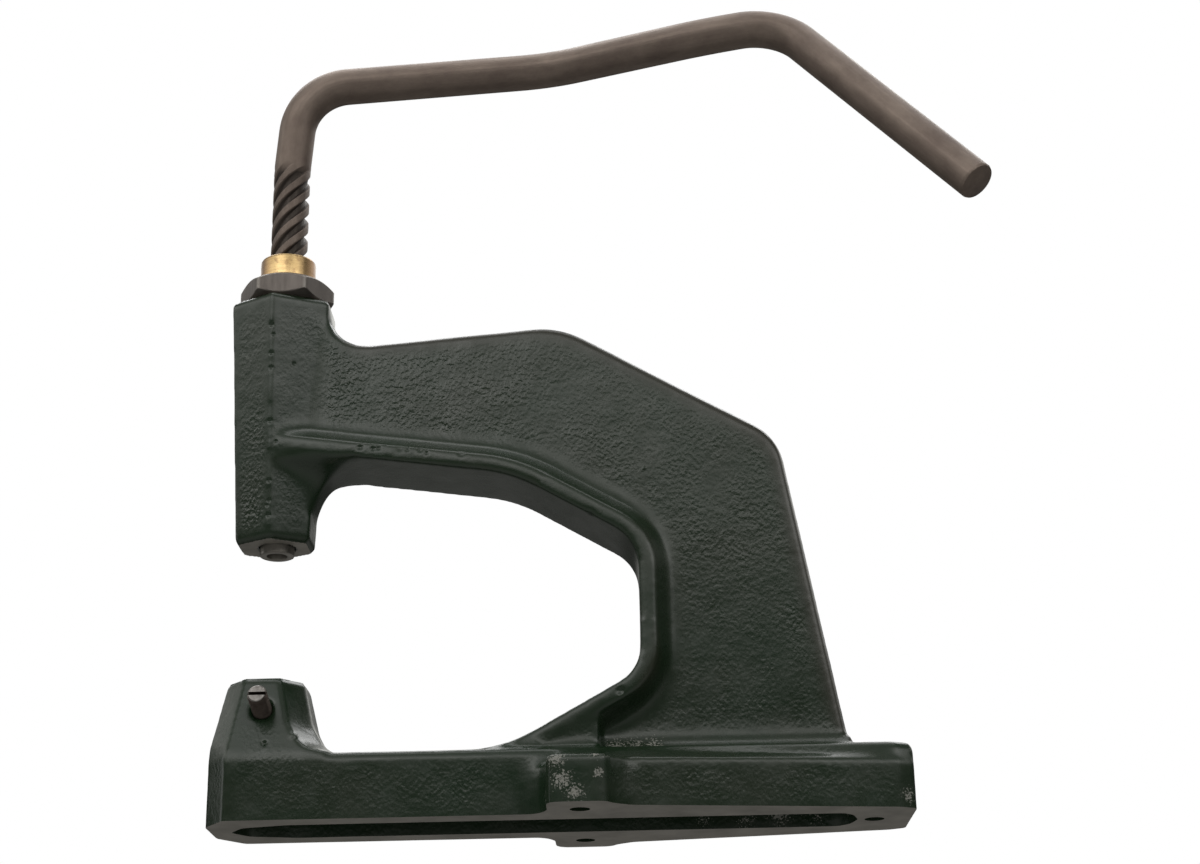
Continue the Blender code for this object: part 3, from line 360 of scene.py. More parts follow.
def vertex_normals(mesh):
    normals = np.empty(len(mesh.vertices) * 3)
    mesh.vertex_normals.foreach_get("vector", normals)
    return normals.reshape(-1, 3)


def tidy_mesh(mesh, sharp_degrees):
    """Welds the mesh, turns its faces outwards and shades it, with sharp edges above an angle."""
    bm = bmesh.new()
    bm.from_mesh(mesh)
    bmesh.ops.remove_doubles(bm, verts=bm.verts, dist=WELD_DISTANCE)
    bmesh.ops.recalc_face_normals(bm, faces=bm.faces)
    bm.to_mesh(mesh)
    bm.free()
    mesh.shade_smooth()
    mesh.set_sharp_from_angle(angle=math.radians(sharp_degrees))


# Materials

class Nodes:
    """Small helper for building a material's node tree."""

    def __init__(self, name):
        self.material = bpy.data.materials.new(name)
        self.material.use_nodes = True
        self.tree = self.material.node_tree
        self.shader = self.tree.nodes["Principled BSDF"]

    def node(self, kind, **values):
        node = self.tree.nodes.new(kind)
        for key, value in values.items():
            setattr(node, key, value)
        return node

    def link(self, source, target):
        self.tree.links.new(source, target)

    def scaled_coords(self, scale, attribute=None):
        """Object coordinates, or those of a named attribute, stretched by a scale in each axis."""
        mapping = self.node("ShaderNodeMapping")
        mapping.inputs["Scale"].default_value = scale
        if attribute is None:
            coords = self.node("ShaderNodeTexCoord")
            self.link(coords.outputs["Object"], mapping.inputs["Vector"])
        else:
            coords = self.node("ShaderNodeAttribute", attribute_name=attribute)
            self.link(coords.outputs["Vector"], mapping.inputs["Vector"])
        return mapping.outputs["Vector"]

    def noise(self, vector, scale, detail=2.0, roughness=0.5, distortion=0.0):
        noise = self.node("ShaderNodeTexNoise")
        noise.inputs["Scale"].default_value = scale
        noise.inputs["Detail"].default_value = detail
        noise.inputs["Roughness"].default_value = roughness
        noise.inputs["Distortion"].default_value = distortion
        self.link(vector, noise.inputs["Vector"])
        return noise.outputs["Fac"]

    def ranged(self, value, low, high, to_low=0.0, to_high=1.0):
        node = self.node("ShaderNodeMapRange")
        node.inputs["From Min"].default_value = low
        node.inputs["From Max"].default_value = high
        node.inputs["To Min"].default_value = to_low
        node.inputs["To Max"].default_value = to_high
        self.link(value, node.inputs["Value"])
        return node.outputs["Result"]

    def math(self, operation, a, b):
        node = self.node("ShaderNodeMath", operation=operation)
        for socket, value in zip(node.inputs, (a, b)):
            if isinstance(value, (int, float)):
                socket.default_value = value
            else:
                self.link(value, socket)
        return node.outputs["Value"]

    def mix_colour(self, factor, a, b):
        node = self.node("ShaderNodeMix", data_type="RGBA")
        self.link(factor, node.inputs["Factor"])
        for socket, value in ((node.inputs["A"], a), (node.inputs["B"], b)):
            if isinstance(value, tuple):
                socket.default_value = (*value, 1.0)
            else:
                self.link(value, socket)
        return node.outputs["Result"]

    def bump(self, height, distance, strength=1.0, normal=None):
        node = self.node("ShaderNodeBump")
        node.inputs["Strength"].default_value = strength
        node.inputs["Distance"].default_value = distance
        self.link(height, node.inputs["Height"])
        if normal is not None:
            self.link(normal, node.inputs["Normal"])
        return node.outputs["Normal"]


def green_paint():
    """Gloss enamel over rough cast iron. The mesh's "coat" attribute says where it is rough, where it is worn
    and how near an outer edge is; the outer edges are painted lighter and browner as a painted highlight."""
    m = Nodes("green_paint_finish")
    plain = m.scaled_coords((1.0, 1.0, 1.0))
    coat = m.node("ShaderNodeAttribute", attribute_name="coat")
    parts = m.node("ShaderNodeSeparateXYZ")
    m.link(coat.outputs["Vector"], parts.inputs[0])
    peel = m.noise(m.scaled_coords((1.0, 1.0, 0.85)), 860.0, 1.0, 0.4, 0.1)
    fine = m.noise(plain, 2400.0, 1.0)
    patches = m.ranged(m.noise(m.scaled_coords((1.0, 1.0, 0.6)), 45.0, 3.0, 0.6), 0.35, 0.65, 0.35, 1.0)
    strength = m.math("MULTIPLY", patches, parts.outputs["X"])
    height = m.math("MULTIPLY", m.ranged(peel, 0.35, 0.7), strength)
    normal = m.bump(height, 0.105 * MM, 1.0)
    normal = m.bump(fine, 0.002 * MM, 1.0, normal)
    tint = m.ranged(m.noise(plain, 28.0, 4.0, 0.6), 0.35, 0.68)
    colour = m.mix_colour(tint, (0.009, 0.023, 0.010), (0.016, 0.026, 0.014))
    # Painted highlight: outer edges painted lighter and browner.
    painted_edge_highlight = m.ranged(parts.outputs["Z"], 0.1, 1.2, 0.0, 0.75)
    colour = m.mix_colour(painted_edge_highlight, colour, (0.034, 0.030, 0.022))
    grit = m.noise(plain, 1500.0, 4.0, 0.7)
    worn = m.ranged(m.math("ADD", grit, m.math("MULTIPLY", parts.outputs["Y"], 0.42)), 0.80, 0.85)
    colour = m.mix_colour(worn, colour, (0.24, 0.24, 0.215))
    m.link(colour, m.shader.inputs["Base Color"])
    rough = m.ranged(m.noise(plain, 120.0, 3.0), 0.3, 0.7, 0.20, 0.31)
    m.link(m.math("MAXIMUM", rough, m.math("MULTIPLY", worn, 0.6)), m.shader.inputs["Roughness"])
    m.link(normal, m.shader.inputs["Normal"])
    return m.material


def machined_iron():
    """Milled cast iron: fine cutter lines, dull grey with a brown cast and dark stains."""
    m = Nodes("machined_iron")
    lines = m.noise(m.scaled_coords((0.12, 1.0, 1.0)), 1500.0, 2.0)
    stains = m.ranged(m.noise(m.scaled_coords((1.0, 1.0, 1.0)), 60.0, 4.0, 0.65), 0.35, 0.75)
    colour = m.mix_colour(stains, (0.35, 0.33, 0.295), (0.19, 0.18, 0.155))
    m.link(colour, m.shader.inputs["Base Color"])
    m.shader.inputs["Metallic"].default_value = 0.6
    m.shader.inputs["Roughness"].default_value = 0.5
    m.link(m.bump(lines, 0.02 * MM), m.shader.inputs["Normal"])
    return m.material


def steel(name, dark, light, roughness, attribute=None, stretch=(1.0, 1.0, 0.05), metallic=0.85,
          edge=None):
    """Drawn, turned or ground steel with fine lines, patches of oxide and, if asked, a painted highlight:
    sharp edges painted lighter.
    """
    m = Nodes(name)
    even = m.scaled_coords((1.0, 1.0, 1.0), attribute)
    lines = m.noise(m.scaled_coords(stretch, attribute), 900.0, 3.0, 0.6)
    patches = m.ranged(m.noise(m.scaled_coords((1.0, 1.0, 0.5), attribute), 110.0, 5.0, 0.7), 0.3, 0.7)
    colour = m.mix_colour(patches, dark, light)
    if edge is not None:
        # Painted highlight: sharp edges, where Pointiness is high, take the lighter edge colour.
        geometry = m.node("ShaderNodeNewGeometry")
        colour = m.mix_colour(m.ranged(geometry.outputs["Pointiness"], 0.52, 0.57), colour, edge)
    m.link(colour, m.shader.inputs["Base Color"])
    m.shader.inputs["Metallic"].default_value = metallic
    m.link(m.ranged(lines, 0.3, 0.7, roughness - 0.06, roughness + 0.08), m.shader.inputs["Roughness"])
    grain = m.noise(even, 2200.0, 2.0)
    normal = m.bump(lines, 0.02 * MM)
    m.link(m.bump(grain, 0.006 * MM, 1.0, normal), m.shader.inputs["Normal"])
    return m


def bar_steel():
    """Black-oxide bar, greyish brown and finely mottled; darker and oily along the thread, and darker still in
    the roots of its grooves.
    """
    m = steel("blackened_bar", (0.156, 0.119, 0.100), (0.258, 0.206, 0.172), 0.5, "bar_space",
              (1.0, 1.0, 0.03), 0.6)
    plain = m.shader.inputs["Base Color"].links[0].from_socket
    place = m.node("ShaderNodeAttribute", attribute_name="bar_space")
    parts = m.node("ShaderNodeSeparateXYZ")
    m.link(place.outputs["Vector"], parts.inputs[0])
    oily = m.ranged(parts.outputs["Z"], 0.243, 0.250, 0.3, 0.0)
    # Darker still in the roots of the thread's grooves.
    across = m.math("ADD", m.math("MULTIPLY", parts.outputs["X"], parts.outputs["X"]),
                    m.math("MULTIPLY", parts.outputs["Y"], parts.outputs["Y"]))
    groove = m.math("MULTIPLY", m.ranged(across, (6.0 * MM) ** 2, (6.55 * MM) ** 2, 0.85, 0.0),
                    m.ranged(parts.outputs["Z"], 0.249, 0.252, 1.0, 0.0))
    colour = m.mix_colour(m.math("MAXIMUM", oily, groove), plain, (0.030, 0.025, 0.021))
    grit = m.ranged(m.noise(m.scaled_coords((1.0, 1.0, 1.0), "bar_space"), 1500.0, 3.0, 0.7), 0.68, 0.76)
    colour = m.mix_colour(m.math("MULTIPLY", grit, 0.5), colour, (0.42, 0.36, 0.30))
    m.link(colour, m.shader.inputs["Base Color"])
    return m.material


def turned_brass(axis):
    """Turned brass: bright in front, painted darker red-brown round both sides as painted shade, with blotches
    of tarnish and fine rings.
    """
    m = steel("turned_brass", (0.40, 0.27, 0.12), (0.66, 0.48, 0.24), 0.27, None, (0.05, 0.05, 1.0), 1.0)
    plain = m.shader.inputs["Base Color"].links[0].from_socket
    coords = m.node("ShaderNodeTexCoord")
    parts = m.node("ShaderNodeSeparateXYZ")
    m.link(coords.outputs["Object"], parts.inputs[0])
    # Painted shade: the brass is painted darker red-brown towards both sides, away from the front.
    aside = m.math("ABSOLUTE", m.math("SUBTRACT", parts.outputs["X"], axis.x + 0.6 * MM), 0.0)
    painted_side_shade = m.ranged(aside, 4.0 * MM, 9.0 * MM, 0.0, 0.8)
    blotch = m.ranged(m.noise(m.scaled_coords((1.0, 1.0, 1.0)), 420.0, 4.0, 0.7), 0.5, 0.68, 0.0, 0.7)
    colour = m.mix_colour(m.math("MAXIMUM", painted_side_shade, blotch), plain, (0.17, 0.085, 0.05))
    m.link(colour, m.shader.inputs["Base Color"])
    return m.material


# Casting

def fine_casting(node):
    """The casting's solid as an even fine mesh, carried on below the feet for the machined cut."""
    mesh = node.data.copy()
    bm = bmesh.new()
    bm.from_mesh(mesh)
    bmesh.ops.remove_doubles(bm, verts=bm.verts, dist=0.002 * MM)
    for vertex in bm.verts:
        if vertex.co.z < 0.05 * MM:
            vertex.co.z -= CUT_MARGIN
    bm.to_mesh(mesh)
    bm.free()
    blank = bpy.data.objects.new("casting_blank", mesh)
    bpy.context.scene.collection.objects.link(blank)
    remesh = blank.modifiers.new("remesh", "REMESH")
    remesh.mode = "VOXEL"
    remesh.voxel_size = VOXEL
    depsgraph = bpy.context.evaluated_depsgraph_get()
    fine = bpy.data.meshes.new_from_object(blank.evaluated_get(depsgraph))
    bpy.data.objects.remove(blank)
    bpy.data.meshes.remove(mesh)
    fine.materials.clear()
    return fine


def tuck_head_fillet(mesh, axis):
    """Draws in the sides of the fillet below the flange at the head, so that they flare out late."""
    co = read_mesh(mesh)
    x, y, z = (co[:, 0] - axis.x) / MM, co[:, 1] - axis.y, co[:, 2] / MM
    rise = np.clip((z - TUCK_LOW_Z) / TUCK_HEIGHT, 0.0, 1.0)
    up = (z - HEAD_BOTTOM_Z / MM) / ((HEAD_TOP_Z - HEAD_BOTTOM_Z) / MM)
    half_width, edge_x, rear_x = (low + (high - low) * up for low, high in
                                  (HEAD_HALF_WIDTHS, HEAD_EDGE_XS, HEAD_REAR_XS))
    share = np.clip((x - edge_x) / (rear_x - edge_x), 0.0, 1.0)
    head_side = (half_width * (1.0 - share * (1.0 - HEAD_FLAT_SHARE))) * (x < rear_x) * MM
    wide = TUCK_FLAT + (TUCK_WIDTH - TUCK_FLAT) * rise
    drawn = TUCK_FLAT + (TUCK_WIDTH - TUCK_FLAT) * rise ** TUCK_POWER
    inside = (x > 2.0) & (x < 31.0) & (rise > 0.0) & (rise < 1.0)
    new = np.maximum(np.abs(y) * drawn / wide, np.minimum(np.abs(y), head_side))
    co[:, 1] = np.where(inside, axis.y + np.sign(y) * new, co[:, 1])
    write_mesh(mesh, co)


def bore_distance(co, axis):
    """Distance of each vertex from the nearest round hole's wall, large away from all of them."""
    nearest = np.full(len(co), 1.0)
    for x, y, radius, low, high in BORES:
        across = np.hypot(co[:, 0] - axis.x - x, co[:, 1] - axis.y - y)
        inside = (co[:, 2] > low) & (co[:, 2] < high)
        nearest = np.where(inside, np.minimum(nearest, np.abs(across - radius)), nearest)
    return nearest


def near(co, axis, places):
    """1 at the middle of any of the places (x, y, z, reach in millimetres), fading to 0 at its reach."""
    share = np.zeros(len(co))
    for x, y, z, reach in places:
        centre = np.array((axis.x + x * MM, axis.y + y * MM, z * MM))
        share = np.maximum(share, 1.0 - np.linalg.norm(co - centre, axis=1) / (reach * MM))
    return share


def neighbour_mean(mesh):
    """A function that gives, for each vertex, the mean of a set of points over its neighbours."""
    count = len(mesh.vertices)
    edges = np.empty(len(mesh.edges) * 2, np.int64)
    mesh.edges.foreach_get("vertices", edges)
    first, second = edges.reshape(-1, 2).T
    degree = np.bincount(first, minlength=count) + np.bincount(second, minlength=count)

    def mean(points):
        total = [np.bincount(first, points[second, k], count) + np.bincount(second, points[first, k], count)
                 for k in range(3)]
        return np.stack(total, axis=1) / degree[:, None]

    return mean


def settle_casting(mesh, axis, mean):
    """Rounds the outer edges a little and fills the inner corners with cast fillets."""
    co = read_mesh(mesh)
    free = np.clip((bore_distance(co, axis) - 0.5 * MM) / (0.8 * MM), 0.0, 1.0)[:, None]
    for _ in range(SETTLE_STEPS):
        co += (mean(co) - co) * 0.5 * free
    above = np.clip((co[:, 2] - 0.5 * MM) / (1.5 * MM), 0.0, 1.0)[:, None]
    for step in range(FILLET_STEPS):
        if step % 4 == 0:
            write_mesh(mesh, co)
            normals = vertex_normals(mesh)
        rise = ((mean(co) - co) * normals).sum(axis=1, keepdims=True)
        co += np.maximum(rise, 0.0) * normals * free * above
    soft = np.clip(near(co, axis, HOLLOWS) * 2.5, 0.0, 1.0)[:, None] * free
    for _ in range(HOLLOW_STEPS):
        co += (mean(co) - co) * 0.6 * soft
    for _ in range(2):
        co += (mean(co) - co) * 0.5 * free
    write_mesh(mesh, co)


def mark_coat(mesh, axis, mean):
    """Writes the "coat" attribute: roughness of the paint, wear, and height above the rounded-off form."""
    co = read_mesh(mesh)
    normals = vertex_normals(mesh)
    rounded = co.copy()
    for _ in range(FORM_STEPS):
        rounded += (mean(rounded) - rounded) * 0.6
    edge = ((co - rounded) * normals).sum(axis=1) / MM
    x, z = (co[:, 0] - axis.x) / MM, co[:, 2] / MM
    peel = np.full(len(co), 0.5)
    web = np.clip((x - 16.0) / 4.0, 0.0, 1.0) * np.clip((z - 24.0) / 6.0, 0.0, 1.0)
    peel += web * (np.abs(normals[:, 1]) > 0.7) * np.interp(x, (45.0, 95.0), (0.8, 0.15))
    left = (x < 17.0) & (z > 95.0) & (normals[:, 0] < -0.2)
    peel = np.where(left, 0.5 + 0.9 * np.clip((150.0 - z) / 40.0, 0.0, 1.0), peel)
    peel *= 1.0 - 0.85 * np.clip((np.abs(edge) - 0.12) / 0.5, 0.0, 1.0)
    base = np.clip((24.5 - z) / 2.0, 0.0, 1.0)
    wear = base * np.clip((edge - 0.9) / 0.8, 0.0, 1.0) * np.clip((x - 60.0) / 60.0, 0.15, 0.5)
    wear = np.maximum(wear, near(co, axis, WORN))
    away = np.hypot(co[:, 0] - axis.x - THROAT_CENTRE[0], co[:, 2] - THROAT_CENTRE[1])
    # This height on outer edges, away from the throat's rim, becomes a painted highlight in the paint
    # material.
    edge = np.clip(edge, 0.0, None) * np.clip((away - THROAT_RIM_REACH) / (8.0 * MM), 0.0, 1.0)
    edge *= (z > 24.0) * np.clip((x - 18.0) / 10.0, 0.0, 1.0)
    attribute = mesh.attributes.new("coat", "FLOAT_VECTOR", "POINT")
    attribute.data.foreach_set("vector", np.stack((peel, wear, edge), axis=1).astype(np.float32).ravel())


def refine_pits(mesh, axis):
    """Splits the mesh finer round each pit, so that the pit is really sunk in it."""
    centres = [axis + Vector((x, y, z)) * MM for x, y, z, _, _ in PITS]
    tree = KDTree(len(centres))
    for index, centre in enumerate(centres):
        tree.insert(centre, index)
    tree.balance()
    bm = bmesh.new()
    bm.from_mesh(mesh)
    edges = [e for e in bm.edges if tree.find((e.verts[0].co + e.verts[1].co) / 2)[2] < PIT_REACH]
    bmesh.ops.subdivide_edges(bm, edges=edges, cuts=2, use_grid_fill=True)
    bm.to_mesh(mesh)
    bm.free()


def roughen_casting(mesh, axis):
    """Uneven cast surface, wrinkles, and the single pits and blobs that the photograph shows."""
    co = read_mesh(mesh)
    normals = vertex_normals(mesh)
    free = np.clip((bore_distance(co, axis) - 0.4 * MM) / (1.0 * MM), 0.0, 1.0)
    rise = 0.09 * MM * lattice_noise(co, 17.0 * MM, 3) + 0.025 * MM * lattice_noise(co, 5.5 * MM, 5)
    stretched = co * np.array((0.8, 0.8, 1.0))
    rise += 0.022 * MM * lattice_noise(stretched, 1.6 * MM, 7)
    for x, y, z, radius, depth in PITS:
        centre = np.array((axis.x + x * MM, axis.y + y * MM, z * MM))
        centre = co[np.argmin(np.linalg.norm(co - centre, axis=1))]
        away = np.linalg.norm(co - centre, axis=1) / (radius * MM)
        rise -= depth * MM * np.exp(-away ** 2)
    co += normals * (rise * free)[:, None]
    for x, y, radius, low, high in BORES:
        offset = co[:, :2] - np.array((axis.x + x, axis.y + y))
        across = np.hypot(offset[:, 0], offset[:, 1])
        wall = (np.abs(across - radius) < 0.6 * MM) & (co[:, 2] > low) & (co[:, 2] < high)
        wall &= np.abs(normals[:, 2]) < 0.6
        share = np.where(wall, radius / np.maximum(across, 0.001 * MM), 1.0)
        co[:, :2] += offset * (share - 1.0)[:, None]
    head = (np.abs(co[:, 0] - axis.x) < 16 * MM) & (np.abs(co[:, 1] - axis.y) < 18 * MM)
    for z in (HEAD_BOTTOM_Z, HEAD_TOP_Z, PILLAR_TOP_Z):
        face = head & (np.abs(co[:, 2] - z) < 0.45 * MM) & (np.abs(normals[:, 2]) > 0.7)
        co[face, 2] = z
    write_mesh(mesh, co)


def cut_feet(mesh):
    """Mills the underside flat at the bench plane; the new face gets the second material."""
    bm = bmesh.new()
    bm.from_mesh(mesh)
    faces = [f for f in bm.faces if min(v.co.z for v in f.verts) < MM]
    edges = {e for f in faces for e in f.edges}
    verts = {v for f in faces for v in f.verts}
    cut = bmesh.ops.bisect_plane(bm, geom=faces + list(edges) + list(verts), plane_co=(0, 0, 0),
                                 plane_no=(0, 0, -1), clear_outer=True)
    rim = [e for e in cut["geom_cut"] if isinstance(e, bmesh.types.BMEdge)]
    filled = bmesh.ops.triangle_fill(bm, use_beauty=True, edges=rim, normal=(0, 0, -1))
    for item in filled["geom"]:
        if isinstance(item, bmesh.types.BMFace):
            item.material_index = 1
    bm.to_mesh(mesh)
    bm.free()


def make_casting(frame, axis, paint, iron):
    mesh = fine_casting(frame["nodes"]["frame_casting"])
    tuck_head_fillet(mesh, axis)
    mean = neighbour_mean(mesh)
    settle_casting(mesh, axis, mean)
    mark_coat(mesh, axis, mean)
    refine_pits(mesh, axis)
    roughen_casting(mesh, axis)
    cut_feet(mesh)
    mesh.materials.append(paint)
    mesh.materials.append(iron)
    for polygon in mesh.polygons:
        centre = polygon.center
        if abs(polygon.normal.z) > 0.9 and abs(centre.x - axis.x) < 19 * MM:
            if min(abs(centre.z - z) for z in (HEAD_BOTTOM_Z, HEAD_TOP_Z, PILLAR_TOP_Z)) < 0.05 * MM:
                polygon.material_index = 1
    mesh.shade_smooth()
    mesh.set_sharp_from_angle(angle=math.radians(38.0))
    add_piece("casting_body", mesh, "frame", ["frame_casting"])


# Spindle and handle

def bar_route():
    """Points along the bar's centre line, about 0.9 mm apart, with true arcs at its bends."""
    corners = [(Vector(place) * MM, radius * MM) for place, radius in BAR_CORNERS]
    points = [corners[0][0]]
    for before, (corner, radius), after in zip(corners, corners[1:], corners[2:]):
        back = (before[0] - corner).normalized()
        ahead = (after[0] - corner).normalized()
        half = back.angle(ahead) / 2
        reach = radius / math.tan(half)
        centre = corner + (back + ahead).normalized() * radius / math.sin(half)
        first = corner + back * reach - centre
        last = corner + ahead * reach - centre
        sweep = first.angle(last)
        steps = max(4, round(radius * sweep / (0.9 * MM)))
        for step in range(steps + 1):
            share = step / steps
            arm = first * math.sin((1 - share) * sweep) + last * math.sin(share * sweep)
            points.append(centre + arm / math.sin(sweep))
    points.append(corners[-1][0])
    dense = [points[0]]
    for a, b in zip(points, points[1:]):
        pieces = max(1, round((b - a).length / (1.4 * MM)))
        dense += [a.lerp(b, (i + 1) / pieces) for i in range(pieces)]
    return dense


def thread_depth_share(z):
    """How much of the thread's depth is cut at a height: full below, running out into the bar."""
    share = (RUNOUT_HIGH_Z - z) / (RUNOUT_HIGH_Z - RUNOUT_LOW_Z)
    share = min(max(share, 0.0), 1.0)
    return share * share * (3 - 2 * share)


def groove_share(land_share):
    """Share of the groove's depth at a place between two lands: 0 on the land, 1 at the root."""
    away = abs(land_share)
    points = ((0.0, 0.0), (0.18, 0.0), (0.207, 0.03), (0.225, 0.12), (0.325, 0.92), (0.35, 1.0), (0.5, 1.0))
    return float(np.interp(away, [p[0] for p in points], [p[1] for p in points]))


def make_spindle(axis, material):
    """Thread and bent bar as one swept skin, ring by ring, with the turned tail below."""
    shares = [start + share for start in range(THREAD_STARTS) for share in LAND_SHARES]
    angles = np.array([math.tau * share / THREAD_STARTS for share in shares])
    grooves = np.array([groove_share(share - round(share)) for share in shares])
    rings, space = [], []
    for z, radius in TAIL_PROFILE:
        rings.append([Vector((radius * MM * math.cos(a), radius * MM * math.sin(a), z * MM)) for a in angles])
        space.append([(radius * MM * math.cos(a), radius * MM * math.sin(a), z * MM) for a in angles])
    route = bar_route()
    thread = [Vector((0, 0, THREAD_BOTTOM_Z + i * 0.6 * MM)) for i in range(1000)]
    thread = [p for p in thread if p.z < route[0].z - 0.3 * MM]
    line = thread + route
    tip = line[-1]
    back = (line[-2] - tip).normalized()
    line = line[:-1] + [tip + back * BAR_TIP_CHAMFER, tip + back * BAR_TIP_CHAMFER * 0.3, tip]
    side = Vector((1, 0, 0))
    bend_z = BAR_CORNERS[1][0][2] * MM
    along = 0.0
    for i, place in enumerate(line):
        before = line[max(i - 1, 0)]
        after = line[min(i + 1, len(line) - 1)]
        forward = (after - before).normalized()
        side = (side - forward * side.dot(forward)).normalized()
        up = forward.cross(side)
        along += (place - before).length
        straight = min(place.z, bend_z) if i <= len(thread) + 4 else bend_z
        turn = math.tau * (straight - THREAD_BOTTOM_Z) / THREAD_LEAD
        depth = thread_depth_share(place.z) if place.x < 20 * MM else 0.0
        land = THREAD_RADIUS + (BAR_RADIUS - THREAD_RADIUS) * (1 - depth)
        if i >= len(line) - 1:
            land -= BAR_TIP_CHAMFER
        elif i == len(line) - 2:
            land -= BAR_TIP_CHAMFER * 0.3
        start_cut = min(1.0, 0.4 + 0.6 * (place.z - THREAD_BOTTOM_Z) / (2 * MM))
        radii = (land - grooves * THREAD_DEPTH * depth) * (start_cut if i < 6 else 1.0)
        ring, spaces = [], []
        for angle, radius in zip(angles, radii):
            a = angle + turn
            ring.append(place + side * radius * math.cos(a) + up * radius * math.sin(a))
            spaces.append((radius * math.cos(a), radius * math.sin(a), THREAD_BOTTOM_Z + along))
        rings.append(ring)
        space.append(spaces)
    rings.append([tip] * len(angles))
    space.append([(0.0, 0.0, THREAD_BOTTOM_Z + along)] * len(angles))
    mesh = bpy.data.meshes.new("spindle_bar")
    mesh.from_pydata([axis + p for ring in rings for p in ring], [], grid_faces(len(rings), len(angles)))
    attribute = mesh.attributes.new("bar_space", "FLOAT_VECTOR", "POINT")
    attribute.data.foreach_set("vector", np.array(space, np.float32).ravel())
    tidy_mesh(mesh, 40.0)
    add_piece("spindle_bar", mesh, "spindle", ["spindle_handle"], material)


# Bush and nut

def make_bush(axis, material):
    """Brass bush: turned outside with eased ends, the five-start thread inside."""
    shares = [start + share for start in range(THREAD_STARTS) for share in LAND_SHARES]
    angles = [math.tau * share / THREAD_STARTS for share in shares]
    grooves = [groove_share(share - round(share)) for share in shares]
    rings = []
    for radius, z in BUSH_PROFILE:
        rings.append([(radius * MM * math.cos(a), radius * MM * math.sin(a), z * MM) for a in angles])
    for step in range(BUSH_THREAD_ROWS + 1):
        depth = (BUSH_TOP_Z - BUSH_BOTTOM_Z - BUSH_MOUTH) * step / BUSH_THREAD_ROWS
        z = BUSH_TOP_Z - BUSH_MOUTH - depth
        turn = math.tau * (z - THREAD_BOTTOM_Z) / THREAD_LEAD
        ring = []
        for angle, groove in zip(angles, grooves):
            radius = THREAD_RADIUS + GAP - groove * THREAD_DEPTH
            ring.append((radius * math.cos(angle + turn), radius * math.sin(angle + turn), z))
        rings.append(ring)
    rings.append(rings[0])
    mesh = bpy.data.meshes.new("brass_bush")
    points = [axis + Vector(p) for ring in rings for p in ring]
    mesh.from_pydata(points, [], grid_faces(len(rings), len(angles)))
    tidy_mesh(mesh, 35.0)
    add_piece("brass_bush", mesh, "frame", ["thread_bush"], material)


def make_nut(axis, material):
    """Hexagon nut with eased corners and a turned chamfer on both faces."""
    flat = NUT_ACROSS_FLATS / 2
    corner = flat / math.cos(math.radians(30.0)) - NUT_CORNER_EASE
    slope = math.tan(math.radians(NUT_CHAMFER_ANGLE))
    start = flat - NUT_CHAMFER_INSET
    bore = BUSH_RADIUS + NUT_BORE_PLAY
    degrees = [360.0 * i / NUT_STEPS for i in range(NUT_STEPS)]
    angles = [math.radians(NUT_TURN + degree) for degree in degrees]
    reaches = [min(flat / math.cos(math.radians((degree + 30.0) % 60.0 - 30.0)), corner) for degree in degrees]
    half = (NUT_HIGH_Z - NUT_LOW_Z) / 2
    middle = (NUT_HIGH_Z + NUT_LOW_Z) / 2
    upper = [[(bore, half - NUT_BORE_EASE)] * NUT_STEPS, [(bore + NUT_BORE_EASE, half)] * NUT_STEPS,
             [(start - NUT_EDGE_EASE, half)] * NUT_STEPS, [(start, half)] * NUT_STEPS]
    for inset in (2.0, 1.0):
        rim = [r - inset * NUT_EDGE_EASE for r in reaches]
        upper.append([(r, half - (r - start) * slope) for r in rim])
    for drop in (1.0, 2.0):
        upper.append([(r, half - (r - start) * slope - drop * NUT_EDGE_EASE) for r in reaches])
    lower = [[(r, -z) for r, z in row] for row in reversed(upper)]
    rows = upper + lower + upper[:1]
    points = [axis + Vector((r * math.cos(a), r * math.sin(a), middle + z))
              for row in rows for a, (r, z) in zip(angles, row)]
    mesh = bpy.data.meshes.new("hex_nut")
    mesh.from_pydata(points, [], grid_faces(len(rows), NUT_STEPS))
    tidy_mesh(mesh, 42.0)
    add_piece("hex_nut", mesh, "frame", ["lock_nut"], material)


# Ram and screws

def lathe(name, profile, steps=96):
    """Skin turned about local Z from (radius, z) points in millimetres; both ends close on the axis."""
    points = [(r * MM * math.cos(math.tau * i / steps), r * MM * math.sin(math.tau * i / steps), z * MM)
              for r, z in profile for i in range(steps)]
    mesh = bpy.data.meshes.new(name)
    mesh.from_pydata(points, [], grid_faces(len(profile), steps))
    tidy_mesh(mesh, 30.0)
    return mesh


def carve(mesh, low, high):
    """Takes a box (corners in millimetres) out of a mesh."""
    tool_mesh = bpy.data.meshes.new("carver")
    bm = bmesh.new()
    bmesh.ops.create_cube(bm, size=1.0)
    for vertex in bm.verts:
        vertex.co = Vector([(h if c > 0 else l) * MM for c, l, h in zip(vertex.co, low, high)])
    bm.to_mesh(tool_mesh)
    bm.free()
    tool = bpy.data.objects.new("carver", tool_mesh)
    body = bpy.data.objects.new("carved", mesh)
    for obj in (tool, body):
        bpy.context.scene.collection.objects.link(obj)
    cut = body.modifiers.new("cut", "BOOLEAN")
    cut.operation = "DIFFERENCE"
    cut.solver = "EXACT"
    cut.object = tool
    depsgraph = bpy.context.evaluated_depsgraph_get()
    result = bpy.data.meshes.new_from_object(body.evaluated_get(depsgraph))
    for obj in (tool, body):
        bpy.data.objects.remove(obj)
    bpy.data.meshes.remove(tool_mesh)
    result.materials.clear()
    result.shade_smooth()
    result.set_sharp_from_angle(angle=math.radians(30.0))
    return result


def place_mesh(mesh, matrix):
    mesh.transform(matrix)
    mesh.update()


def make_ram(axis, material):
    """Turned ram with a socket at each end and the keyway for its key screw."""
    mesh = carve(lathe("ram_bar", RAM_PROFILE), KEYWAY_LOW, KEYWAY_HIGH)
    place_mesh(mesh, Matrix.Translation(axis))
    add_piece("ram_bar", mesh, "ram_unit", ["ram"], material)


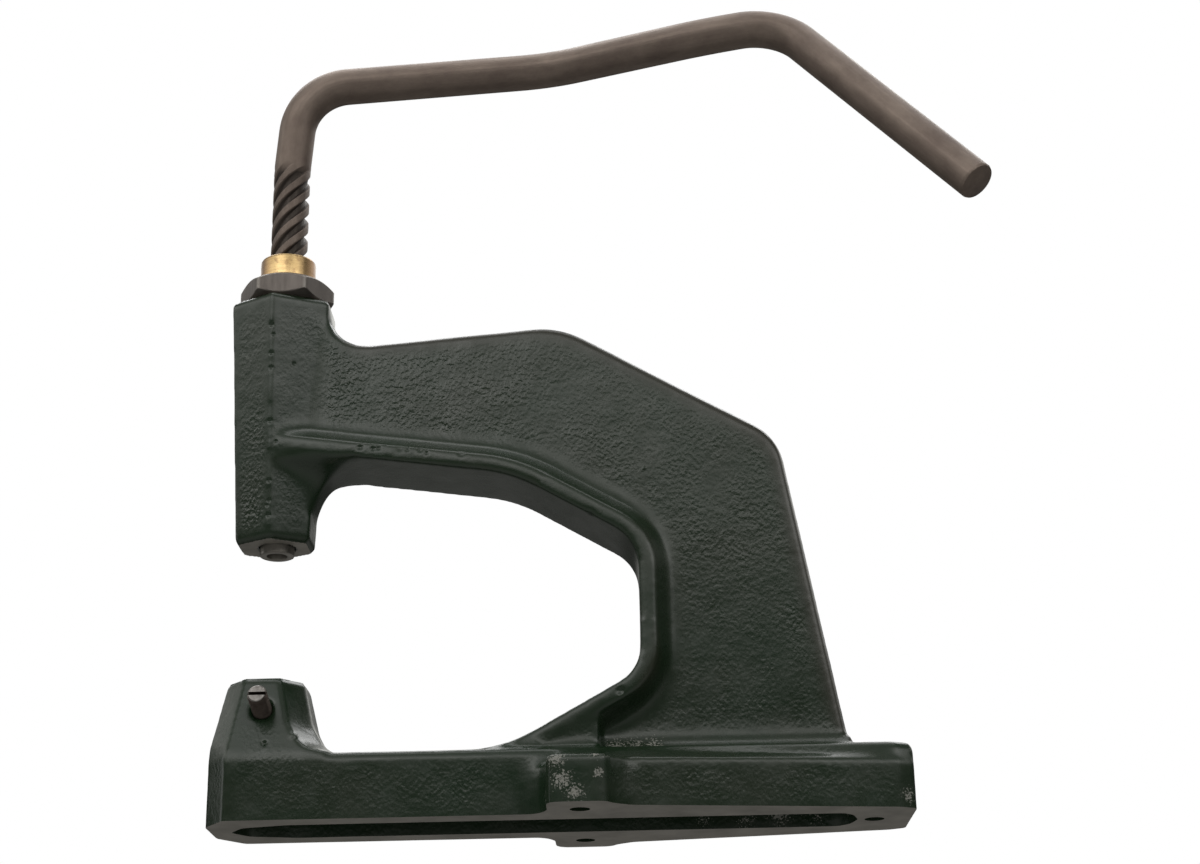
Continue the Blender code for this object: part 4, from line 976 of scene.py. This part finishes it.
def make_clamp_screw(axis, material, bright):
    """Slotted screw with a rolled thread, lying along the clamp's tilted axis, its end painted bright as a
    painted highlight.
    """
    tilt = math.radians(CLAMP_TILT)
    direction = Vector((0, -math.cos(tilt), math.sin(tilt)))
    face_y = -PILLAR_TOP_WIDTH / 2 - (PILLAR_TOP_Z - CLAMP_Z) * math.tan(tilt)
    root = Vector((0, face_y, CLAMP_Z))
    wall = root - direction * ((-DIE_HOLE_RADIUS - root.y) / -direction.y)
    tip = wall + direction * CLAMP_END_GAP
    length = (root - tip).length + CLAMP_STUB
    rows = int(length / CLAMP_ROW)
    rings = []
    for row in range(rows + 1):
        z = length * row / rows
        ease = min(z, length - z)
        ring = []
        for i in range(CLAMP_AROUND):
            turn = i / CLAMP_AROUND
            phase = (z / CLAMP_PITCH - turn) % 1.0
            groove = max(0.0, min(1.0, (abs(phase - 0.5) * 2 - 0.12) / 0.7))
            radius = CLAMP_RADIUS - CLAMP_THREAD_DEPTH * (1 - groove)
            radius = min(radius, CLAMP_RADIUS - max(0.0, CLAMP_END_EASE - ease))
            ring.append((radius * math.cos(math.tau * turn), radius * math.sin(math.tau * turn), z))
        rings.append(ring)
    rings = [[(0, 0, 0)] * CLAMP_AROUND] + rings + [[(0, 0, length)] * CLAMP_AROUND]
    mesh = bpy.data.meshes.new("slotted_screw")
    mesh.from_pydata([p for ring in rings for p in ring], [], grid_faces(len(rings), CLAMP_AROUND))
    tidy_mesh(mesh, 50.0)
    top = length / MM
    mesh = carve(mesh, (-6.0, -SLOT_HALF_WIDTH, top - SLOT_DEPTH), (6.0, SLOT_HALF_WIDTH, top + 2.0))
    mesh.materials.append(material)
    mesh.materials.append(bright)
    # The end face gets the bright material: a painted highlight.
    for polygon in mesh.polygons:
        if polygon.center.z > length - 0.5 * MM and polygon.normal.z > 0.4:
            polygon.material_index = 1
    turn = direction.to_track_quat("Z", "Y").to_matrix().to_4x4()
    place_mesh(mesh, Matrix.Translation(axis + tip) @ turn)
    add_piece("slotted_screw", mesh, "clamp_screw", ["die_clamp_screw"])


def dress_nodes(frame, material, names):
    """Small CAD pieces whose shape is right get the scene's material."""
    for name in names:
        node = frame["nodes"][name]
        node.data.materials.clear()
        node.data.materials.append(material)


def main():
    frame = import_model()
    joint = next(j for j in frame["joints"] if j["name"] == "spindle_turn")
    axis = Vector((joint["pos_m"][0], joint["pos_m"][1], 0.0))
    make_camera(axis)
    make_world()
    make_lights()
    make_floor()
    # The nut's sharp edges are painted lighter as a painted highlight.
    nut_steel = steel("oiled_nut", (0.105, 0.092, 0.084), (0.160, 0.142, 0.130), 0.42,
                      edge=(0.42, 0.40, 0.37)).material
    ground = steel("ground_steel_finish", (0.20, 0.19, 0.17), (0.32, 0.30, 0.27), 0.34, None,
                   (1.0, 1.0, 1.0)).material
    screw = steel("screw_steel_finish", (0.050, 0.039, 0.033), (0.105, 0.085, 0.073), 0.45).material
    # Bright end face of the clamp screw: a painted highlight.
    bright = steel("screw_end_painted_highlight", (0.04, 0.034, 0.030), (0.42, 0.40, 0.38), 0.35, None,
                   (1.0, 0.1, 1.0)).material
    make_casting(frame, axis, green_paint(), machined_iron())
    make_spindle(axis, bar_steel())
    make_bush(axis, turned_brass(axis))
    make_nut(axis, nut_steel)
    make_ram(axis, ground)
    make_clamp_screw(axis, screw, bright)
    dress_nodes(frame, ground, ["thrust_ball", "ram_pin_front", "ram_pin_rear"])
    dress_nodes(frame, screw, ["ram_key_screw"])


main()
